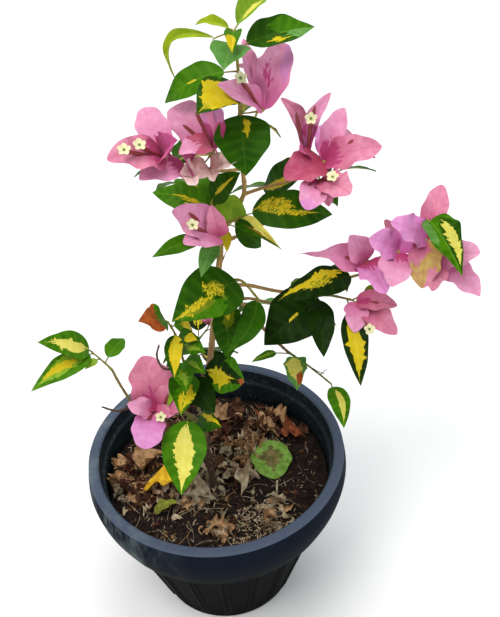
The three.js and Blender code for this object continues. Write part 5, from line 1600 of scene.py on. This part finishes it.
# The first seeds of the dead leaves and of the scraps, and the seed of what is drawn in turn.
LEAF_SEED = 900
SCRAP_SEED = 2000
COVER_SEED = 12


def add_crumbs(soil, rng):
    """Crumbs over all of the soil, most of them small and dark."""
    places = spread_on_soil(2600, 21, lift=0.2)
    count = len(places)
    size = rng.uniform(0.5, 1.0, (count, 3)) * rng.gamma(2.2, 0.55, (count, 1)).clip(0.3, 2.6)
    scatter(soil, places, size, rng.choice(3, count, p=[0.6, 0.33, 0.07]), 22)


def add_dead_leaves(litter):
    """The dead leaves. One is still green, with a scar across its middle and its stalk beside it."""
    for i, (x, y, lift, bearing, pitch, length, width, roll, colour, form) in enumerate(LITTER):
        root = np.array([x, y, height_at(x, y) + lift])
        made = blade(root, heading(bearing, pitch), length, width, UPWARD, roll, LEAF,
                     {**DEAD_LEAF, **form}, LEAF_GRID, LEAF_SEED + i)
        points, upper, under, spot, marks = made
        rest_on_soil(points, 0.5)
        number = np.full(len(spot), LITTER_COLOURS.index(colour))
        if colour == "withered":
            along, across = spot[:, 0], np.abs(spot[:, 1])
            middle = across < 0.6 - 1.7 * np.abs(along - 0.54) + 0.1 * np.sin(40 * along)
            number[middle] = LITTER_COLOURS.index("scar")
        litter.add(points, np.concatenate([upper, under]), np.tile(number, 2), marks)
    litter.add(*tube(arc(*np.array(FALLEN_STALK), 10), 1.0, 8), LITTER_COLOURS.index("straw"))


def add_scraps(litter, rng):
    """Crumpled scraps in heaps. One that would reach past the soil's edge is turned about."""
    number = SCRAP_SEED
    for x, y, spread, count, shortest, longest, lift, colours in SCRAPS:
        for place in spread_on_soil(count, number, spread, (x, y)):
            number += 1
            bearing, pitch, roll = rng.uniform(0, 360), rng.uniform(-5, 45), rng.uniform(-50, 50)
            length = rng.uniform(shortest, longest)
            root = place + np.array([0, 0, rng.uniform(0, 1) * lift])
            if np.hypot(*(root + heading(bearing, pitch) * length)[:2]) > FARTHEST["scrap"]:
                bearing += 180
            form = {"wave": rng.uniform(0.1, 0.24), "fold": rng.uniform(0.2, 0.8),
                    "curl": rng.uniform(0, 0.6), "bow": rng.uniform(-0.1, 0.3), "beats": 2.6,
                    "twist": rng.uniform(-70, 70), "relief": 0.2}
            width = length * rng.uniform(0.45, 0.8)
            points, upper, under, _, marks = blade(root, heading(bearing, pitch), length, width, UPWARD,
                                                   roll, BRACT, form, SCRAP_GRID, number)
            rest_on_soil(points, 0.6)
            tone = LITTER_COLOURS.index(colours[number % len(colours)])
            litter.add(points, np.concatenate([upper, under]), tone, marks)


def add_slivers(litter, rng):
    """Slivers of straw and husk that lie flat."""
    for count, seed, reach, middle, spans, shares in SLIVERS:
        places = spread_on_soil(count, seed, reach, middle, 0.6)
        size = np.stack([rng.uniform(*span, len(places)) for span in spans], -1)
        tones = [LITTER_COLOURS.index(k) for k in shares]
        lying(litter, places, size, rng.choice(tones, len(places), p=list(shares.values())), seed + 1)


def add_threads(litter, rng):
    """Arched threads of straw. One that would reach past the soil's edge is left out."""
    places = np.vstack([spread_on_soil(*row) for row in THREADS])
    for i, (x, y) in enumerate(places[:, :2]):
        bearing, length, hump = rng.uniform(0, 360), rng.uniform(8, 26), rng.uniform(1, 6)
        ahead = heading(bearing, 0) * length
        side = heading(bearing + 90, 0) * rng.uniform(-5, 5)
        start = np.array([x, y, height_at(x, y) + 0.3])
        if np.hypot(*(start + ahead)[:2]) > FARTHEST["thread"]:
            continue
        path = arc(start, start + ahead / 2 + side + [0, 0, hump], start + ahead, 9)
        tone = LITTER_COLOURS.index(THREAD_COLOURS[i % len(THREAD_COLOURS)])
        litter.add(*tube(path, 0.26, 4), tone)


def make_ground_cover():
    """The soil with its crumbs, and the dead leaves, scraps and straw that lie on it."""
    rng = np.random.default_rng(COVER_SEED)
    soil, litter = make_soil(), Pieces()
    add_crumbs(soil, rng)
    add_dead_leaves(litter)
    add_scraps(litter, rng)
    add_slivers(litter, rng)
    add_threads(litter, rng)
    earth = [plain_finish("soil_" + k, ground, drift, 160, roughness, bump, distance, 700)
             for k, (ground, drift, roughness, bump, distance) in SOIL_TONES.items()]
    soil.make("potting_soil", earth, "soil", ["soil"], crease=60)
    dry = [plain_finish("dry_" + k, *LITTER_TONES[k], 150, 0.8) for k in LITTER_COLOURS]
    litter.make("dead_leaves", dry, "soil", ["soil"], crease=60)


# ---- The scene ----

def make_plant():
    """The plant's pieces, each with the nodes that it stands for."""
    grown = grow()
    limbs, front, back = ([row[0] for row in rows] for rows in (LIMBS, SPRAYS, BACK_SPRAYS))
    upper = [name for name in front if name not in LOWER_SPRAYS]
    barks = [bark_finish("bark_" + k, *BARK_TONES[k]) for k in BARKS]
    leaves = leaf_finishes()
    grown["bark"].make("stem_and_boughs", barks, "bark", limbs)
    grown["twigs"].make("twigs_and_stalks", [bark_finish("bark_green", *GREEN_BARK)], "foliage",
                        front + back)
    grown["upper"].make("upper_leaves", leaves, "foliage", upper)
    grown["lower"].make("lower_leaves", leaves, "foliage", LOWER_SPRAYS)
    grown["behind"].make("leaves_behind", leaves, "foliage", back)
    grown["bracts"].make("bracts", bract_finishes(), "bloom", front + back)
    grown["flowers"].make("flowers", flower_finishes(), "bloom", front + back, crease=35)


# Half the floor's width in metres.
FLOOR_REACH = 9


def make_floor():
    """A plain pale floor, far wider than the view."""
    mesh = bpy.data.meshes.new("floor")
    corners = [(x * FLOOR_REACH, y * FLOOR_REACH, 0) for x, y in ((-1, -1), (1, -1), (1, 1), (-1, 1))]
    mesh.from_pydata(corners, [], [(0, 1, 2, 3)])
    material, tree, shader = finish("pale_floor", 0.9, 0.2)
    tone = use(tree, DRIFT, Ground=linear(246, 246, 245), Drift=linear(243, 243, 242), Scale=3)
    give(tree, shader.inputs["Base Color"], tone.outputs["Color"])
    mesh.materials.append(material)
    floor = bpy.data.objects.new("floor", mesh)
    bpy.context.scene.collection.objects.link(floor)


# Lamps: name, place in metres, size, watts, colour. Each looks at one point in the plant.
LAMP_AIM = (0.03, 0, 0.33)
SKY = {"colour": (0.93, 0.96, 1.0, 1), "strength": 0.58}
LAMPS = [
    ("key", (-1.7, -1.8, 5.0), 3.0, 160, (1.0, 0.985, 0.95)),
    ("fill", (3.4, -2.4, 3.2), 3.0, 44, (0.95, 0.98, 1.0)),
    ("top", (0.4, 1.4, 5.0), 3.0, 95, (1.0, 1.0, 1.0)),
]


def light_studio():
    """The lamps, and an even sky."""
    for name, place, size, watts, colour in LAMPS:
        data = bpy.data.lights.new(name, "AREA")
        data.shape, data.size, data.energy, data.color = "DISK", size, watts, colour
        back = unit(np.array(place) - np.array(LAMP_AIM))
        side = unit(np.cross(UPWARD, back))
        stand(bpy.data.objects.new(name, data), side, np.cross(back, side), back, place)
    world = bpy.data.worlds.new("studio")
    world.use_nodes = True
    background = world.node_tree.nodes["Background"].inputs
    background["Color"].default_value = SKY["colour"]
    background["Strength"].default_value = SKY["strength"]
    bpy.context.scene.world = world
    bpy.context.scene.view_settings.view_transform = "Standard"


make_pot()
make_ground_cover()
make_plant()
make_floor()
light_studio()
